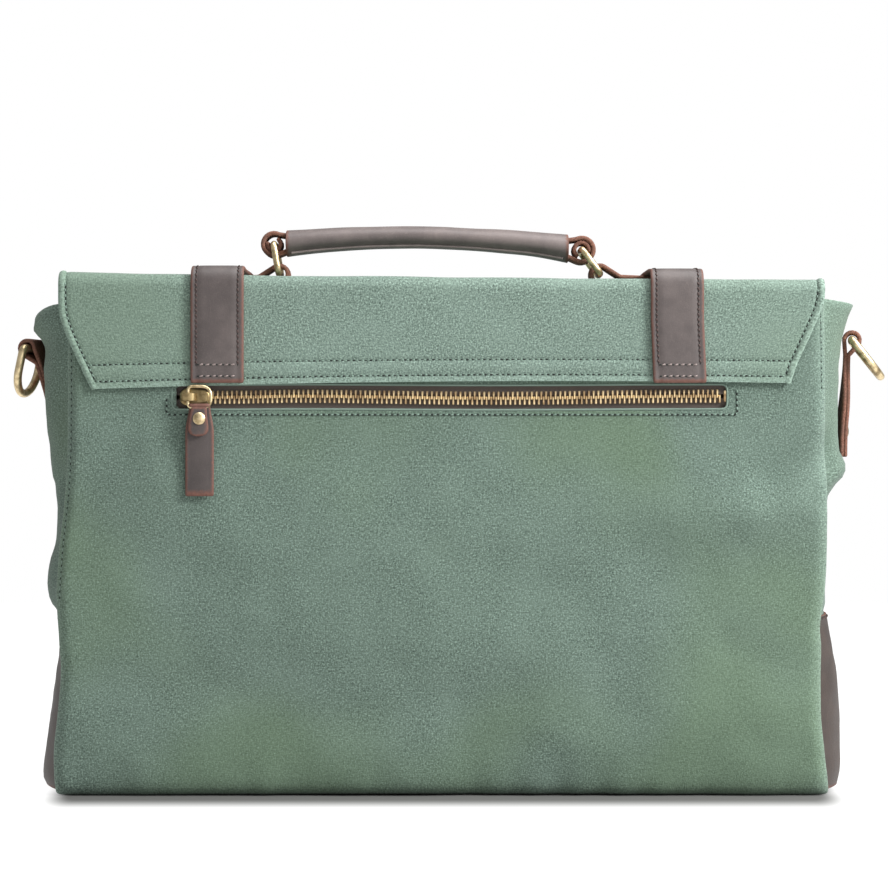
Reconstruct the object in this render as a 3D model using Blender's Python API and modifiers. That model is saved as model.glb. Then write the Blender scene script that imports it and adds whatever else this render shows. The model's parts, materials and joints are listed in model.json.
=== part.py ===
"""A canvas satchel with leather straps, a top handle and a zipped pocket in its rear face.

Metres, +Z up. The origin is the middle of the base, on the surface the bag stands on. +X runs along
the bag's length, -Y is the rear face with the zip, and +Y is the front that the flap closes over.
Every piece that moves hangs from an empty on its joint's axis.
"""

import math

import bmesh
import bpy
from mathutils import Matrix, Vector

MM = 0.001
GAP = 0.3 * MM  # between pieces that touch on the real bag

# Body
HALF_LENGTH = 200 * MM  # panels, at the top
BOTTOM_FLARE = 3 * MM  # each side
HALF_DEPTH = 52.5 * MM  # to the outer faces of the panels
PANEL_TOP = 260 * MM
PANEL_FOOT = 0.6 * MM
CANVAS = 2 * MM
PANEL_CORNER = 6 * MM

GUSSET_EDGE = 198.5 * MM
GUSSET_HALF_DEPTH = 49 * MM
GUSSET_TOP = 256 * MM
GUSSET_CLOTH = 1.6 * MM
GUSSET_BULGES = ((1, 11), (60, 12), (120, 9), (165, 17), (175, 17.5), (256, 17.5))  # z, out
CORNER_LEATHER_TOP = 95 * MM
CORNER_LEATHER = 1.5 * MM

BASE_LEATHER = 2 * MM
BASE_HALF_LENGTH = 196.5 * MM
BASE_HALF_DEPTH = 50 * MM
BOARD = 2.5 * MM
LINING = 0.6 * MM

# Zip in the rear panel
ZIP_Z = 209.6 * MM
ZIP_MID = 3 * MM
WINDOW = (291 * MM, 12.4 * MM)
WINDOW_CORNER = 2.6 * MM
TAPE = 0.8 * MM
TAPE_HEIGHT = 10 * MM
TEETH_HEIGHT = 3 * MM
TEETH_DEPTH = 3 * MM
TEETH_FROM = -122 * MM
TEETH_TO = 147.5 * MM
SLIDER_X = -130.5 * MM
SLIDER = (16 * MM, 10 * MM, 2.2 * MM)
PULL_WIRE = 0.9 * MM
PULL_RING = (12 * MM, 11 * MM)
PULL_RING_X = -133.9 * MM
PULL_RING_Y = -57.2 * MM
PULL_TAB_WIDTH = 13.5 * MM
PULL_TAB_END = 157.7 * MM
PULL_FOLD_END = 189.2 * MM

# Flap
FLAP_HINGE = Vector((0, -53.7 * MM, 270 * MM))
FLAP_HALF_LENGTH = 200.5 * MM
FLAP_CLOTH = 1.8 * MM
FLAP_TOP = 270.8 * MM  # middle of the cloth
FLAP_FRONT = 54.6 * MM  # middle of the cloth
FLAP_HEM = 95 * MM
FLAP_CORNER = 9.6 * MM
FLAP_BACK_TOP = 268 * MM
FLAP_BACK_HEM = 215.5 * MM

# Leather straps over the flap
STRAP_X = {"left": -118.8 * MM, "right": 122.2 * MM}
STRAP_WIDTH = 27.8 * MM
STRAP = 2.4 * MM
STRAP_TOP = 277.4 * MM  # middle of the strap, where it crosses the handle's chapes
STRAP_FRONT = 57 * MM
STRAP_TIP = 75 * MM
STRAP_BACK_END = 217 * MM

BUCKLE = (38 * MM, 34 * MM, 3 * MM)
BUCKLE_Y = 61.8 * MM
BUCKLE_Z = 117.5 * MM
BUCKLE_RAIL = 4 * MM
BUCKLE_BAR = 2.4 * MM
SNAP_Z = 83 * MM

# Handle: two rectangular rings stand in chapes and carry the grip, all turning about Y
CHAPE_X = {"left": -89.6 * MM, "right": 84.7 * MM}
CHAPE_Z = 277.5 * MM
CHAPE_STRAP = 3 * MM
CHAPE_WIDTH = 16 * MM
CHAPE_LOOP = 4.9 * MM
CHAPE_END = {"left": -130 * MM, "right": 133.5 * MM}
RING_WIRE = 1.8 * MM
RING_HALF_WIDTH = 11.3 * MM
RING_HEIGHT = 16.5 * MM
RING_LEAN = {"left": math.radians(10), "right": math.radians(37)}
HANDLE_LOOP = 6.5 * MM
HANDLE_CORE = 4 * MM
HANDLE_ARCH = 5.5 * MM
GRIP = (-85.2 * MM, 66.9 * MM)
GRIP_WALL = 2.6 * MM
GRIP_HALF_WIDTH = 13 * MM

# D-rings on the sides, for a shoulder strap
SIDE_RING_X = {"left": 224.5 * MM, "right": 222.8 * MM}
SIDE_RING_Z = {"left": 237 * MM, "right": 241.5 * MM}
SIDE_RING_TWIST = {"left": math.radians(14), "right": math.radians(9.3)}  # clockwise from above
SIDE_RING_WIRE = 2.2 * MM
SIDE_RING_HALF_WIDTH = 13 * MM
SIDE_RING_STRAIGHT = 12 * MM
SIDE_RING_LEAN = {"left": math.radians(12.4), "right": math.radians(38)}
SIDE_TAB_LOOP = 4.4 * MM
SIDE_TAB = 3.5 * MM
SIDE_TAB_WIDTH = 18 * MM
SIDE_TAB_END = 178 * MM
SIDE_RIVET_Z = 192 * MM

SIGN = {"left": -1, "right": 1}

FACING_Y = (math.pi / 2, 0, 0)  # a flat outline drawn in X and Z, thick along Y
FACING_X = (math.pi / 2, 0, math.pi / 2)  # drawn in Y and Z, long along X
FACING_Z = (0, 0, 0)


# ---------------------------------------------------------------- scene, materials, helpers


def clear_scene():
    for obj in list(bpy.data.objects):
        bpy.data.objects.remove(obj, do_unlink=True)


def new_collection(name):
    collection = bpy.data.collections.new(name)
    bpy.context.scene.collection.children.link(collection)
    return collection


def new_material(name, colour, roughness, metallic=0.0):
    material = bpy.data.materials.new(name)
    material.use_nodes = True
    shader = material.node_tree.nodes["Principled BSDF"]
    shader.inputs["Base Color"].default_value = (*colour, 1)
    shader.inputs["Roughness"].default_value = roughness
    shader.inputs["Metallic"].default_value = metallic
    return material


def add(name, data, material, joint=None):
    """Links an object for a sub-part, and hangs it from the empty on its joint."""
    obj = bpy.data.objects.new(name, data)
    data.materials.append(material)
    PARTS.objects.link(obj)
    if joint:
        obj.parent = joint
        obj.matrix_parent_inverse = joint.matrix_world.inverted()
    return obj


def joint_at(name, place, parent=None):
    """An empty on a joint's axis."""
    empty = bpy.data.objects.new(name, None)
    empty.empty_display_size = 0.01
    PARTS.objects.link(empty)
    empty.location = place
    if parent:
        empty.parent = parent
        empty.matrix_parent_inverse = parent.matrix_world.inverted()
    bpy.context.view_layer.update()
    return empty


def arc(centre, radius, start, end, steps):
    """Points round a centre, from one angle to another, in degrees."""
    angles = [math.radians(start + (end - start) * i / steps) for i in range(steps + 1)]
    return [(centre[0] + radius * math.cos(a), centre[1] + radius * math.sin(a)) for a in angles]


def circle(centre, radius, steps=16):
    return arc(centre, radius, 0, 360, steps)[:-1]


def box_outline(centre, size, corner=0.0, steps=3):
    """A rectangle with round corners, anticlockwise."""
    half_w, half_h = size[0] / 2 - corner, size[1] / 2 - corner
    points = []
    for turn, (sx, sy) in zip((0, 90, 180, 270), ((1, 1), (-1, 1), (-1, -1), (1, -1))):
        middle = (centre[0] + sx * half_w, centre[1] + sy * half_h)
        points += arc(middle, corner, turn, turn + 90, steps) if corner else [middle]
    return points


def ribbon(path, thickness):
    """The outline of a strip that follows a path through its middle."""
    sides = ([], [])
    for i, here in enumerate(path):
        before, after = Vector(path[max(i - 1, 0)]), Vector(path[min(i + 1, len(path) - 1)])
        along = (after - before).normalized()
        across = Vector((-along.y, along.x)) * thickness / 2
        sides[0].append(tuple(Vector(here) + across))
        sides[1].append(tuple(Vector(here) - across))
    return sides[1] + sides[0][::-1]


def flat_curve(name, outlines, thickness):
    """A filled 2D curve: the first outline is the edge and the others are holes."""
    curve = bpy.data.curves.new(name, "CURVE")
    curve.dimensions = "2D"
    curve.fill_mode = "BOTH"
    curve.extrude = thickness / 2
    for outline in outlines:
        spline = curve.splines.new("POLY")
        spline.points.add(len(outline) - 1)
        for point, (x, y) in zip(spline.points, outline):
            point.co = (x, y, 0, 1)
        spline.use_cyclic_u = True
    return curve


def plate(name, outlines, thickness, facing, depth, material, joint=None):
    """A flat piece whose middle lies at a depth along the direction that it faces."""
    obj = add(name, flat_curve(name, outlines, thickness), material, joint)
    obj.rotation_euler = facing
    axis = {FACING_X: 0, FACING_Y: 1, FACING_Z: 2}[facing]
    obj.location[axis] = depth
    return obj


def as_mesh(obj):
    """Turns a curve object into a mesh object with the same name, its caps welded."""
    bpy.context.view_layer.update()
    graph = bpy.context.evaluated_depsgraph_get()
    mesh = bpy.data.meshes.new_from_object(obj.evaluated_get(graph))
    welded = bmesh.new()
    welded.from_mesh(mesh)
    bmesh.ops.remove_doubles(welded, verts=welded.verts, dist=1e-6)
    welded.to_mesh(mesh)
    welded.free()
    name, material, parent = obj.name, obj.data.materials[0], obj.parent
    matrix = obj.matrix_world.copy()
    bpy.data.objects.remove(obj, do_unlink=True)
    mesh.materials.clear()
    made = add(name, mesh, material, parent)
    made.matrix_world = matrix
    return made


def join_solid(obj, other):
    """Unites another mesh object with this one and keeps it hidden as a helper."""
    other.name = obj.name + "_joined"
    PARTS.objects.unlink(other)
    HELPERS.objects.link(other)
    other.hide_render = True
    other.display_type = "WIRE"
    modifier = obj.modifiers.new("union", "BOOLEAN")
    modifier.operation = "UNION"
    modifier.solver = "EXACT"
    modifier.object = other


def sheet(name, columns, rows, place, thickness, material, joint=None):
    """Cloth as a grid bent by place(u, v), with u and v from -1 to 1, then thickened both ways."""
    mesh = bpy.data.meshes.new(name)
    grid = bmesh.new()
    bmesh.ops.create_grid(grid, x_segments=columns, y_segments=rows, size=1)
    for vert in grid.verts:
        vert.co = place(vert.co.x, vert.co.y)
    grid.to_mesh(mesh)
    grid.free()
    obj = add(name, mesh, material, joint)
    solid = obj.modifiers.new("thickness", "SOLIDIFY")
    solid.thickness = thickness
    solid.offset = 0
    return obj


def wire(name, points, radius, material, joint=None):
    """A closed loop of round wire."""
    curve = bpy.data.curves.new(name, "CURVE")
    curve.dimensions = "3D"
    curve.bevel_depth = radius
    curve.bevel_resolution = 2
    spline = curve.splines.new("POLY")
    spline.points.add(len(points) - 1)
    for point, place in zip(spline.points, points):
        point.co = (*place, 1)
    spline.use_cyclic_u = True
    return add(name, curve, material, joint)


def turned(name, profile, place, facing, material, joint=None, steps=20):
    """A round piece from a profile of (radius, height) that runs from its top down its outer side."""
    mesh = bpy.data.meshes.new(name)
    outline = bmesh.new()
    verts = [outline.verts.new((radius, 0, height)) for radius, height in profile]
    for first, second in zip(verts, verts[1:]):
        outline.edges.new((first, second))
    outline.to_mesh(mesh)
    outline.free()
    obj = add(name, mesh, material, joint)
    obj.rotation_euler = facing
    obj.location = place
    screw = obj.modifiers.new("turn", "SCREW")
    screw.steps = screw.render_steps = steps
    screw.use_merge_vertices = True
    screw.merge_threshold = 0.00005
    return obj


# ---------------------------------------------------------------- body of the bag


def panel_outline():
    """A panel in X and Z, a little wider at its foot, where its corners are round."""
    foot = HALF_LENGTH + BOTTOM_FLARE - PANEL_CORNER
    low = PANEL_FOOT + PANEL_CORNER
    points = [(HALF_LENGTH, PANEL_TOP), (-HALF_LENGTH, PANEL_TOP)]
    points += arc((-foot, low), PANEL_CORNER, 180, 270, 4)
    points += arc((foot, low), PANEL_CORNER, 270, 360, 4)
    return points


def make_panels():
    window = box_outline((ZIP_MID, ZIP_Z), WINDOW, WINDOW_CORNER)
    middle = HALF_DEPTH - CANVAS / 2
    plate("back_panel", [panel_outline(), window], CANVAS, FACING_Y, -middle, CANVAS_CLOTH)
    plate("front_panel", [panel_outline()], CANVAS, FACING_Y, middle, CANVAS_CLOTH)


def bulge(z):
    """How far the middle of a gusset stands out at a height."""
    z = max(z, GUSSET_BULGES[0][0] * MM)
    for (z0, out0), (z1, out1) in zip(GUSSET_BULGES, GUSSET_BULGES[1:]):
        if z <= z1 * MM:
            t = (z - z0 * MM) / ((z1 - z0) * MM)
            return (out0 + (out1 - out0) * t * t * (3 - 2 * t)) * MM
    return GUSSET_BULGES[-1][1] * MM


def gusset_surface(side, top, offset):
    """Where the cloth of a side lies: bowed outward between its two seams."""

    def place(u, v):
        z = PANEL_FOOT + 2 * GAP + (top - PANEL_FOOT - 2 * GAP) * (v + 1) / 2
        out = GUSSET_EDGE + bulge(z) * (1 - u * u) + offset
        return Vector((SIGN[side] * out, u * GUSSET_HALF_DEPTH, z))

    return place


def make_sides(side):
    surface = gusset_surface(side, GUSSET_TOP, 0)
    sheet("gusset_" + side, 8, 14, surface, GUSSET_CLOTH, CANVAS_CLOTH)
    outside = GUSSET_CLOTH / 2 + CORNER_LEATHER / 2 + 1.3 * GAP
    surface = gusset_surface(side, CORNER_LEATHER_TOP, outside)
    sheet("corner_leather_" + side, 8, 6, surface, CORNER_LEATHER, LEATHER)


def make_base():
    """The leather base is bowed at its ends like the gussets, and a stiff board lies on it."""
    rows = [BASE_HALF_DEPTH * (i / 6 - 1) for i in range(13)]
    end = [(BASE_HALF_LENGTH + bulge(0) * (1 - (y / BASE_HALF_DEPTH) ** 2), y) for y in rows]
    outline = end + [(-x, -y) for x, y in end]
    plate("base_panel", [outline], BASE_LEATHER, FACING_Z, BASE_LEATHER / 2, LEATHER)
    board_z = BASE_LEATHER + GAP + BOARD / 2
    size = (370 * MM, 86 * MM)
    plate("base_board", [box_outline((0, 0), size, 8 * MM)], BOARD, FACING_Z, board_z, BOARD_CARD)


def open_box(name, low, high, open_axis, open_end, wall, material):
    """A five-sided box of cloth: walls grow inward from the two corners given."""
    mesh = bpy.data.meshes.new(name)
    cube = bmesh.new()
    bmesh.ops.create_cube(cube, size=1)
    for vert in cube.verts:
        vert.co = Vector([low[i] if vert.co[i] < 0 else high[i] for i in range(3)])
    mouth = [f for f in cube.faces if f.normal[open_axis] * open_end > 0.5]
    bmesh.ops.delete(cube, geom=mouth, context="FACES_ONLY")
    cube.to_mesh(mesh)
    cube.free()
    obj = add(name, mesh, material)
    solid = obj.modifiers.new("thickness", "SOLIDIFY")
    solid.thickness = wall
    solid.offset = -1
    solid.use_even_offset = True


def make_inside():
    floor = BASE_LEATHER + BOARD + 2 * GAP
    low, high = (-194 * MM, -40.5 * MM, floor), (194 * MM, 49 * MM, 255 * MM)
    open_box("lining", low, high, 2, 1, LINING, LINING_CLOTH)
    low, high = (-156 * MM, -50.2 * MM, 85 * MM), (162 * MM, -42.4 * MM, 232 * MM)
    open_box("rear_pocket", low, high, 1, -1, LINING, LINING_CLOTH)


# ---------------------------------------------------------------- zip


def make_zip():
    tape_y = -(HALF_DEPTH - CANVAS - GAP - TAPE / 2)
    teeth_y = -HALF_DEPTH + 0.6 * MM + TEETH_DEPTH / 2
    teeth_x = (TEETH_FROM + TEETH_TO) / 2
    for row, way in (("upper", 1), ("lower", -1)):
        teeth_z = ZIP_Z + way * (GAP / 2 + TEETH_HEIGHT / 2)
        tape_z = ZIP_Z + way * (GAP * 1.5 + TEETH_HEIGHT + TAPE_HEIGHT / 2)
        tape = box_outline((ZIP_MID, tape_z), (WINDOW[0] + 11 * MM, TAPE_HEIGHT))
        teeth = box_outline((teeth_x, teeth_z), (TEETH_TO - TEETH_FROM, TEETH_HEIGHT))
        plate("zip_tape_" + row, [tape], TAPE, FACING_Y, tape_y, ZIP_TAPE)
        plate("zip_teeth_" + row, [teeth], TEETH_DEPTH, FACING_Y, teeth_y, BRASS)


def make_slider():
    """The slider rides along the teeth. Its plates are held 0.5 mm off them, front and back."""
    slide = joint_at("zip_slide", (SLIDER_X, -HALF_DEPTH, ZIP_Z))
    length, height, thick = SLIDER
    front_y = -HALF_DEPTH + 0.1 * MM - thick / 2
    outline = box_outline((SLIDER_X, ZIP_Z), (length, height), 2 * MM)
    body = as_mesh(plate("zip_slider", [outline], thick, FACING_Y, front_y, BRASS, slide))
    lug_front, eye_front, eye_back = -59.8 * MM, -58.6 * MM, -56 * MM
    lug_back = front_y
    lug_centre = (PULL_RING_X, (lug_front + lug_back) / 2)
    lug = box_outline(lug_centre, (8.4 * MM, lug_back - lug_front))
    eye = box_outline((PULL_RING_X, (eye_front + eye_back) / 2), (4 * MM, eye_back - eye_front))
    bridge = as_mesh(plate("bridge", [lug, eye], 3.2 * MM, FACING_Z, ZIP_Z, BRASS, slide))
    join_solid(body, bridge)
    back_y = -HALF_DEPTH + 4.8 * MM
    plate("zip_slider_back", [outline], 1.4 * MM, FACING_Y, back_y, BRASS, slide)
    return slide


def make_pull(slide):
    """A wire ring turns in the slider's bridge about Z, and a leather tab swings on the ring about X."""
    ring_joint = joint_at("pull_ring_hinge", (PULL_RING_X, PULL_RING_Y, ZIP_Z), slide)
    width, height = PULL_RING
    ring_x = PULL_RING_X + width / 2
    outline = box_outline((ring_x, ZIP_Z), PULL_RING, 2.2 * MM)
    wire("pull_ring", [(x, PULL_RING_Y, z) for x, z in outline], PULL_WIRE, BRASS, ring_joint)

    bar_z = ZIP_Z - height / 2
    tab_joint = joint_at("pull_tab_hinge", (ring_x, PULL_RING_Y, bar_z), ring_joint)
    leather = 1.6 * MM
    bar = (PULL_RING_Y, bar_z)
    loop = 2.2 * MM
    shoulder = bar_z - 4 * MM
    neck = arc(bar, loop, -60, 240, 14)
    neck += [(PULL_RING_Y - leather, shoulder - 1 * MM), (PULL_RING_Y + leather, shoulder - 1 * MM)]
    neck_solid = plate("neck", [neck, circle(bar, 1.25 * MM)], 7 * MM, FACING_X, ring_x, LEATHER, tab_joint)
    layers = [
        (PULL_RING_Y - leather, shoulder),
        (PULL_RING_Y - leather, PULL_FOLD_END),
        (PULL_RING_Y, PULL_FOLD_END),
        (PULL_RING_Y, PULL_TAB_END),
        (PULL_RING_Y + leather, PULL_TAB_END),
        (PULL_RING_Y + leather, shoulder),
    ]
    tab = plate("pull_tab", [layers], PULL_TAB_WIDTH, FACING_X, ring_x, LEATHER, tab_joint)
    join_solid(as_mesh(tab), as_mesh(neck_solid))
    place = (ring_x, PULL_RING_Y - leather - GAP, 198.3 * MM)
    turned("pull_rivet", dome(3.3 * MM, 1.4 * MM), place, FACING_Y, BRASS, tab_joint)


def dome(radius, height):
    """A rivet head's profile, from its crown down to its flat back."""
    crown = [(radius * math.sin(a), height * (0.35 + 0.65 * math.cos(a))) for a in (0, 0.5, 0.95, 1.35)]
    return [(0, crown[0][1])] + crown[1:] + [(radius, 0.35 * height * 0.7), (radius, 0), (0, 0)]


# ---------------------------------------------------------------- flap and its straps


def make_flap(hinge):
    slant_top, slant_foot = 253 * MM, 181 * MM
    outline = [
        (FLAP_HALF_LENGTH, FLAP_BACK_TOP),
        (-FLAP_HALF_LENGTH, FLAP_BACK_TOP),
        (-FLAP_HALF_LENGTH, slant_top),
        (-slant_foot, FLAP_BACK_HEM),
        (slant_foot, FLAP_BACK_HEM),
        (FLAP_HALF_LENGTH, slant_top),
    ]
    back_y = -(HALF_DEPTH + GAP + FLAP_CLOTH / 2)
    plate("flap_back", [outline], FLAP_CLOTH, FACING_Y, back_y, CANVAS_CLOTH)

    def fold(inset, start):
        """Over the top and down the front, inset from the middle of the flap's cloth."""
        corner = (FLAP_FRONT - FLAP_CORNER, FLAP_TOP - FLAP_CORNER)
        path = [(start, FLAP_TOP - inset), (0, FLAP_TOP - inset)]
        path += arc(corner, FLAP_CORNER - inset, 90, 0, 6)
        return path + [(FLAP_FRONT - inset, FLAP_HEM)]

    outline = ribbon(fold(0, -HALF_DEPTH - GAP), FLAP_CLOTH)
    plate("flap", [outline], 2 * FLAP_HALF_LENGTH, FACING_X, 0, CANVAS_CLOTH, hinge)
    outline = ribbon(fold(FLAP_CLOTH / 2 + GAP + LINING / 2, -50 * MM), LINING)
    plate("flap_lining", [outline], 2 * HALF_LENGTH - 8 * MM, FACING_X, 0, LINING_CLOTH, hinge)


def make_strap(side, hinge):
    """The strap's sewn end on the rear, and the length that goes over the top and down the front."""
    x = STRAP_X[side]
    back_y = -(HALF_DEPTH + FLAP_CLOTH + 2 * GAP + STRAP / 2)
    top = 264 * MM
    outline = box_outline((x, (top + STRAP_BACK_END) / 2), (STRAP_WIDTH, top - STRAP_BACK_END))
    plate("strap_back_" + side, [outline], STRAP, FACING_Y, back_y, LEATHER)

    bend = 11 * MM
    path = [(-48 * MM, STRAP_TOP - 0.6 * MM), (-38 * MM, STRAP_TOP)]
    path += arc((STRAP_FRONT - bend, STRAP_TOP - bend), bend, 90, 0, 6)
    path += [(STRAP_FRONT, STRAP_TIP)]
    plate("strap_front_" + side, [ribbon(path, STRAP)], STRAP_WIDTH, FACING_X, x, LEATHER, hinge)


def make_buckle(side, hinge):
    """A buckle lies on the strap above its magnetic snap, and its prong hangs on the middle bar."""
    x = STRAP_X[side]
    width, height, thick = BUCKLE
    frame = box_outline((x, BUCKLE_Z), (width, height), 5 * MM)
    hole_height = (height - 2 * BUCKLE_RAIL - BUCKLE_BAR) / 2
    offset = (BUCKLE_BAR + hole_height) / 2
    holes = [
        box_outline((x, BUCKLE_Z + way * offset), (width - 2 * BUCKLE_RAIL, hole_height), 1.5 * MM, 2)
        for way in (1, -1)
    ]
    plate("buckle_" + side, [frame] + holes, thick, FACING_Y, BUCKLE_Y, BRASS, hinge)
    patch = box_outline((x, 134 * MM), (STRAP_WIDTH - 2 * MM, 24 * MM), 3 * MM)
    plate("buckle_patch_" + side, [patch], 1.4 * MM, FACING_Y, 59.2 * MM, LEATHER, hinge)

    prong_joint = joint_at("prong_hinge_" + side, (x, BUCKLE_Y, BUCKLE_Z), hinge)
    centre = (BUCKLE_Y, BUCKLE_Z)
    inner, outer, length = 1.8 * MM, 3.4 * MM, 19 * MM
    pin = [
        (BUCKLE_Y + inner, BUCKLE_Z - length),
        (BUCKLE_Y + outer, BUCKLE_Z - length),
        (BUCKLE_Y + outer, BUCKLE_Z),
    ]
    outline = pin + arc(centre, 3.1 * MM, 25, 305.5, 14)
    eye = circle(centre, 2.1 * MM, 12)
    plate("buckle_prong_" + side, [outline, eye], 2.5 * MM, FACING_X, x, BRASS, prong_joint)


def make_snap(side, hinge):
    """Two halves of a magnetic snap: one on the front panel, the other behind the strap's tip."""
    x = STRAP_X[side]
    base_y = HALF_DEPTH + GAP + 0.75 * MM
    plate("snap_base_" + side, [circle((x, SNAP_Z), 8 * MM, 20)], 1.5 * MM, FACING_Y, base_y, BRASS)
    cap_y = STRAP_FRONT - STRAP / 2 - GAP - 0.45 * MM
    plate("snap_cap_" + side, [circle((x, SNAP_Z), 6.5 * MM, 20)], 0.9 * MM, FACING_Y, cap_y, BRASS, hinge)


# ---------------------------------------------------------------- handle


def ring_top(side):
    """Where a handle ring's upper bar lies, in X and Z."""
    lean = RING_LEAN[side]
    return (CHAPE_X[side] - RING_HEIGHT * math.sin(lean), CHAPE_Z + RING_HEIGHT * math.cos(lean))


def make_chape(side, hinge):
    """A folded strap on top of the flap: its loop holds a ring, and its end runs under the strap."""
    x, way = CHAPE_X[side], SIGN[side]
    centre = (x, CHAPE_Z)
    foot = CHAPE_Z - CHAPE_LOOP
    top = foot + CHAPE_STRAP
    end = CHAPE_END[side]
    join = math.degrees(math.asin((top - CHAPE_Z) / CHAPE_LOOP))
    if way > 0:
        outline = arc(centre, CHAPE_LOOP, join, 270, 14) + [(end, foot), (end, top)]
    else:
        outline = arc(centre, CHAPE_LOOP, 180 - join, -90, 14) + [(end, foot), (end, top)]
    hole = circle(centre, RING_WIRE + 0.5 * MM)
    plate("handle_chape_" + side, [outline, hole], CHAPE_WIDTH, FACING_Y, 0, LEATHER, hinge)


def make_ring(side, hinge):
    pivot = joint_at("handle_ring_hinge_" + side, (CHAPE_X[side], 0, CHAPE_Z), hinge)
    lean = Matrix.Rotation(-RING_LEAN[side], 3, "Y")
    outline = box_outline((0, RING_HEIGHT / 2), (2 * RING_HALF_WIDTH, RING_HEIGHT), 2.5 * MM)
    base = Vector((CHAPE_X[side], 0, CHAPE_Z))
    points = [base + lean @ Vector((0, y, z)) for y, z in outline]
    wire("handle_ring_" + side, points, RING_WIRE, BRASS, pivot)
    return pivot


def make_handle(ring_pivot):
    """A strap with a loop at each end, inside a leather grip that arches a little."""
    left, right = ring_top("left"), ring_top("right")
    pivot = joint_at("handle_hinge", (left[0], 0, left[1]), ring_pivot)
    middle, half = (left[0] + right[0]) / 2, (right[0] - left[0]) / 2

    def centre_z(x):
        t = (x - middle) / half
        return (left[1] + right[1]) / 2 + (right[1] - left[1]) / 2 * t + HANDLE_ARCH * (1 - t * t)

    neck = 6.8 * MM
    steps = 8
    stations = [left[0] + neck + (2 * half - 2 * neck) * i / steps for i in range(steps + 1)]
    lower = [(x, centre_z(x) - HANDLE_CORE / 2) for x in stations]
    upper = [(x, centre_z(x) + HANDLE_CORE / 2) for x in reversed(stations)]
    outline = arc(left, HANDLE_LOOP, 40, 320, 14) + lower + arc(right, HANDLE_LOOP, -140, 140, 14) + upper
    holes = [circle(left, RING_WIRE + 0.5 * MM), circle(right, RING_WIRE + 1.2 * MM)]
    plate("handle_core", [outline] + holes, CHAPE_WIDTH, FACING_Y, 0, LEATHER, pivot)

    mesh = bpy.data.meshes.new("handle_grip")
    tube = bmesh.new()
    bmesh.ops.create_cone(tube, cap_ends=False, segments=20, radius1=1, radius2=1, depth=2)
    long_edges = [e for e in tube.edges if abs(e.verts[0].co.z - e.verts[1].co.z) > 1]
    bmesh.ops.subdivide_edges(tube, edges=long_edges, cuts=7)
    for vert in tube.verts:
        u = vert.co.z
        x = (GRIP[0] + GRIP[1]) / 2 + (GRIP[1] - GRIP[0]) / 2 * u
        half_height = (6.2 + 1.5 * u * u) * MM
        vert.co = Vector((x, GRIP_HALF_WIDTH * vert.co.y, centre_z(x) + half_height * vert.co.x))
    bmesh.ops.recalc_face_normals(tube, faces=tube.faces)
    tube.to_mesh(mesh)
    tube.free()
    grip = add("handle_grip", mesh, LEATHER, pivot)
    solid = grip.modifiers.new("thickness", "SOLIDIFY")
    solid.thickness = GRIP_WALL
    solid.offset = -1


# ---------------------------------------------------------------- side rings


def make_side_ring(side):
    """The tab, its rivet and the ring, turned together about the upright line through the ring's bar."""
    way = SIGN[side]
    bar = Vector((way * SIDE_RING_X[side], 0, SIDE_RING_Z[side]))
    twist = Matrix.Rotation(-SIDE_RING_TWIST[side], 3, "Z")
    stem_out = -SIDE_TAB_LOOP + SIDE_TAB
    join = math.degrees(math.asin(stem_out / SIDE_TAB_LOOP))
    loop = arc((0, bar.z), SIDE_TAB_LOOP, -90 + join, 180, 14)
    stem = [(-SIDE_TAB_LOOP, SIDE_TAB_END), (stem_out, SIDE_TAB_END)]
    outline = [(way * x, z) for x, z in loop + stem]
    hole = circle((0, bar.z), SIDE_RING_WIRE + 0.4 * MM)
    tab = plate("side_tab_" + side, [outline, hole], SIDE_TAB_WIDTH, FACING_Y, 0, LEATHER)
    tab.location.x = bar.x
    tab.rotation_euler.z = -SIDE_RING_TWIST[side]

    place = twist @ Vector((way * (stem_out + GAP), 0, 0))
    place = (bar.x + place.x, place.y, SIDE_RIVET_Z)
    facing = (0, way * math.pi / 2, -SIDE_RING_TWIST[side])
    turned("side_rivet_" + side, dome(3.9 * MM, 1.6 * MM), place, facing, BRASS)

    pivot = joint_at("side_ring_hinge_" + side, bar)
    lean = twist @ Matrix.Rotation(-way * SIDE_RING_LEAN[side], 3, "Y")
    half, corner = SIDE_RING_HALF_WIDTH, 2.5 * MM
    profile = arc((half - corner, -corner), corner, 0, 90, 3)
    profile += arc((-half + corner, -corner), corner, 90, 180, 3)
    profile += arc((0, -SIDE_RING_STRAIGHT), half, 180, 360, 12)
    points = [bar + lean @ Vector((0, y, z)) for y, z in profile]
    wire("side_ring_" + side, points, SIDE_RING_WIRE, BRASS, pivot)


clear_scene()
PARTS = new_collection("satchel_bag")
HELPERS = new_collection("helpers")
CANVAS_CLOTH = new_material("canvas", (0.20, 0.29, 0.23), 0.95)
LEATHER = new_material("leather", (0.16, 0.12, 0.11), 0.55)
LINING_CLOTH = new_material("lining_cloth", (0.30, 0.27, 0.21), 0.9)
BOARD_CARD = new_material("stiffener", (0.05, 0.05, 0.05), 0.7)
ZIP_TAPE = new_material("zip_tape", (0.08, 0.06, 0.05), 0.9)
BRASS = new_material("antique_brass", (0.40, 0.30, 0.14), 0.35, 1.0)

make_panels()
make_base()
make_inside()
make_zip()
make_pull(make_slider())
flap_hinge = joint_at("flap_hinge", FLAP_HINGE)
make_flap(flap_hinge)
ring_pivots = {}
for one_side in ("left", "right"):
    make_sides(one_side)
    make_strap(one_side, flap_hinge)
    make_buckle(one_side, flap_hinge)
    make_snap(one_side, flap_hinge)
    make_chape(one_side, flap_hinge)
    ring_pivots[one_side] = make_ring(one_side, flap_hinge)
    make_side_ring(one_side)
make_handle(ring_pivots["left"])
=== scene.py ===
"""Looks of the canvas satchel: sewn cloth, leather, stitching, zip and antique brass round the CAD frame."""

import json
import math

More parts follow.
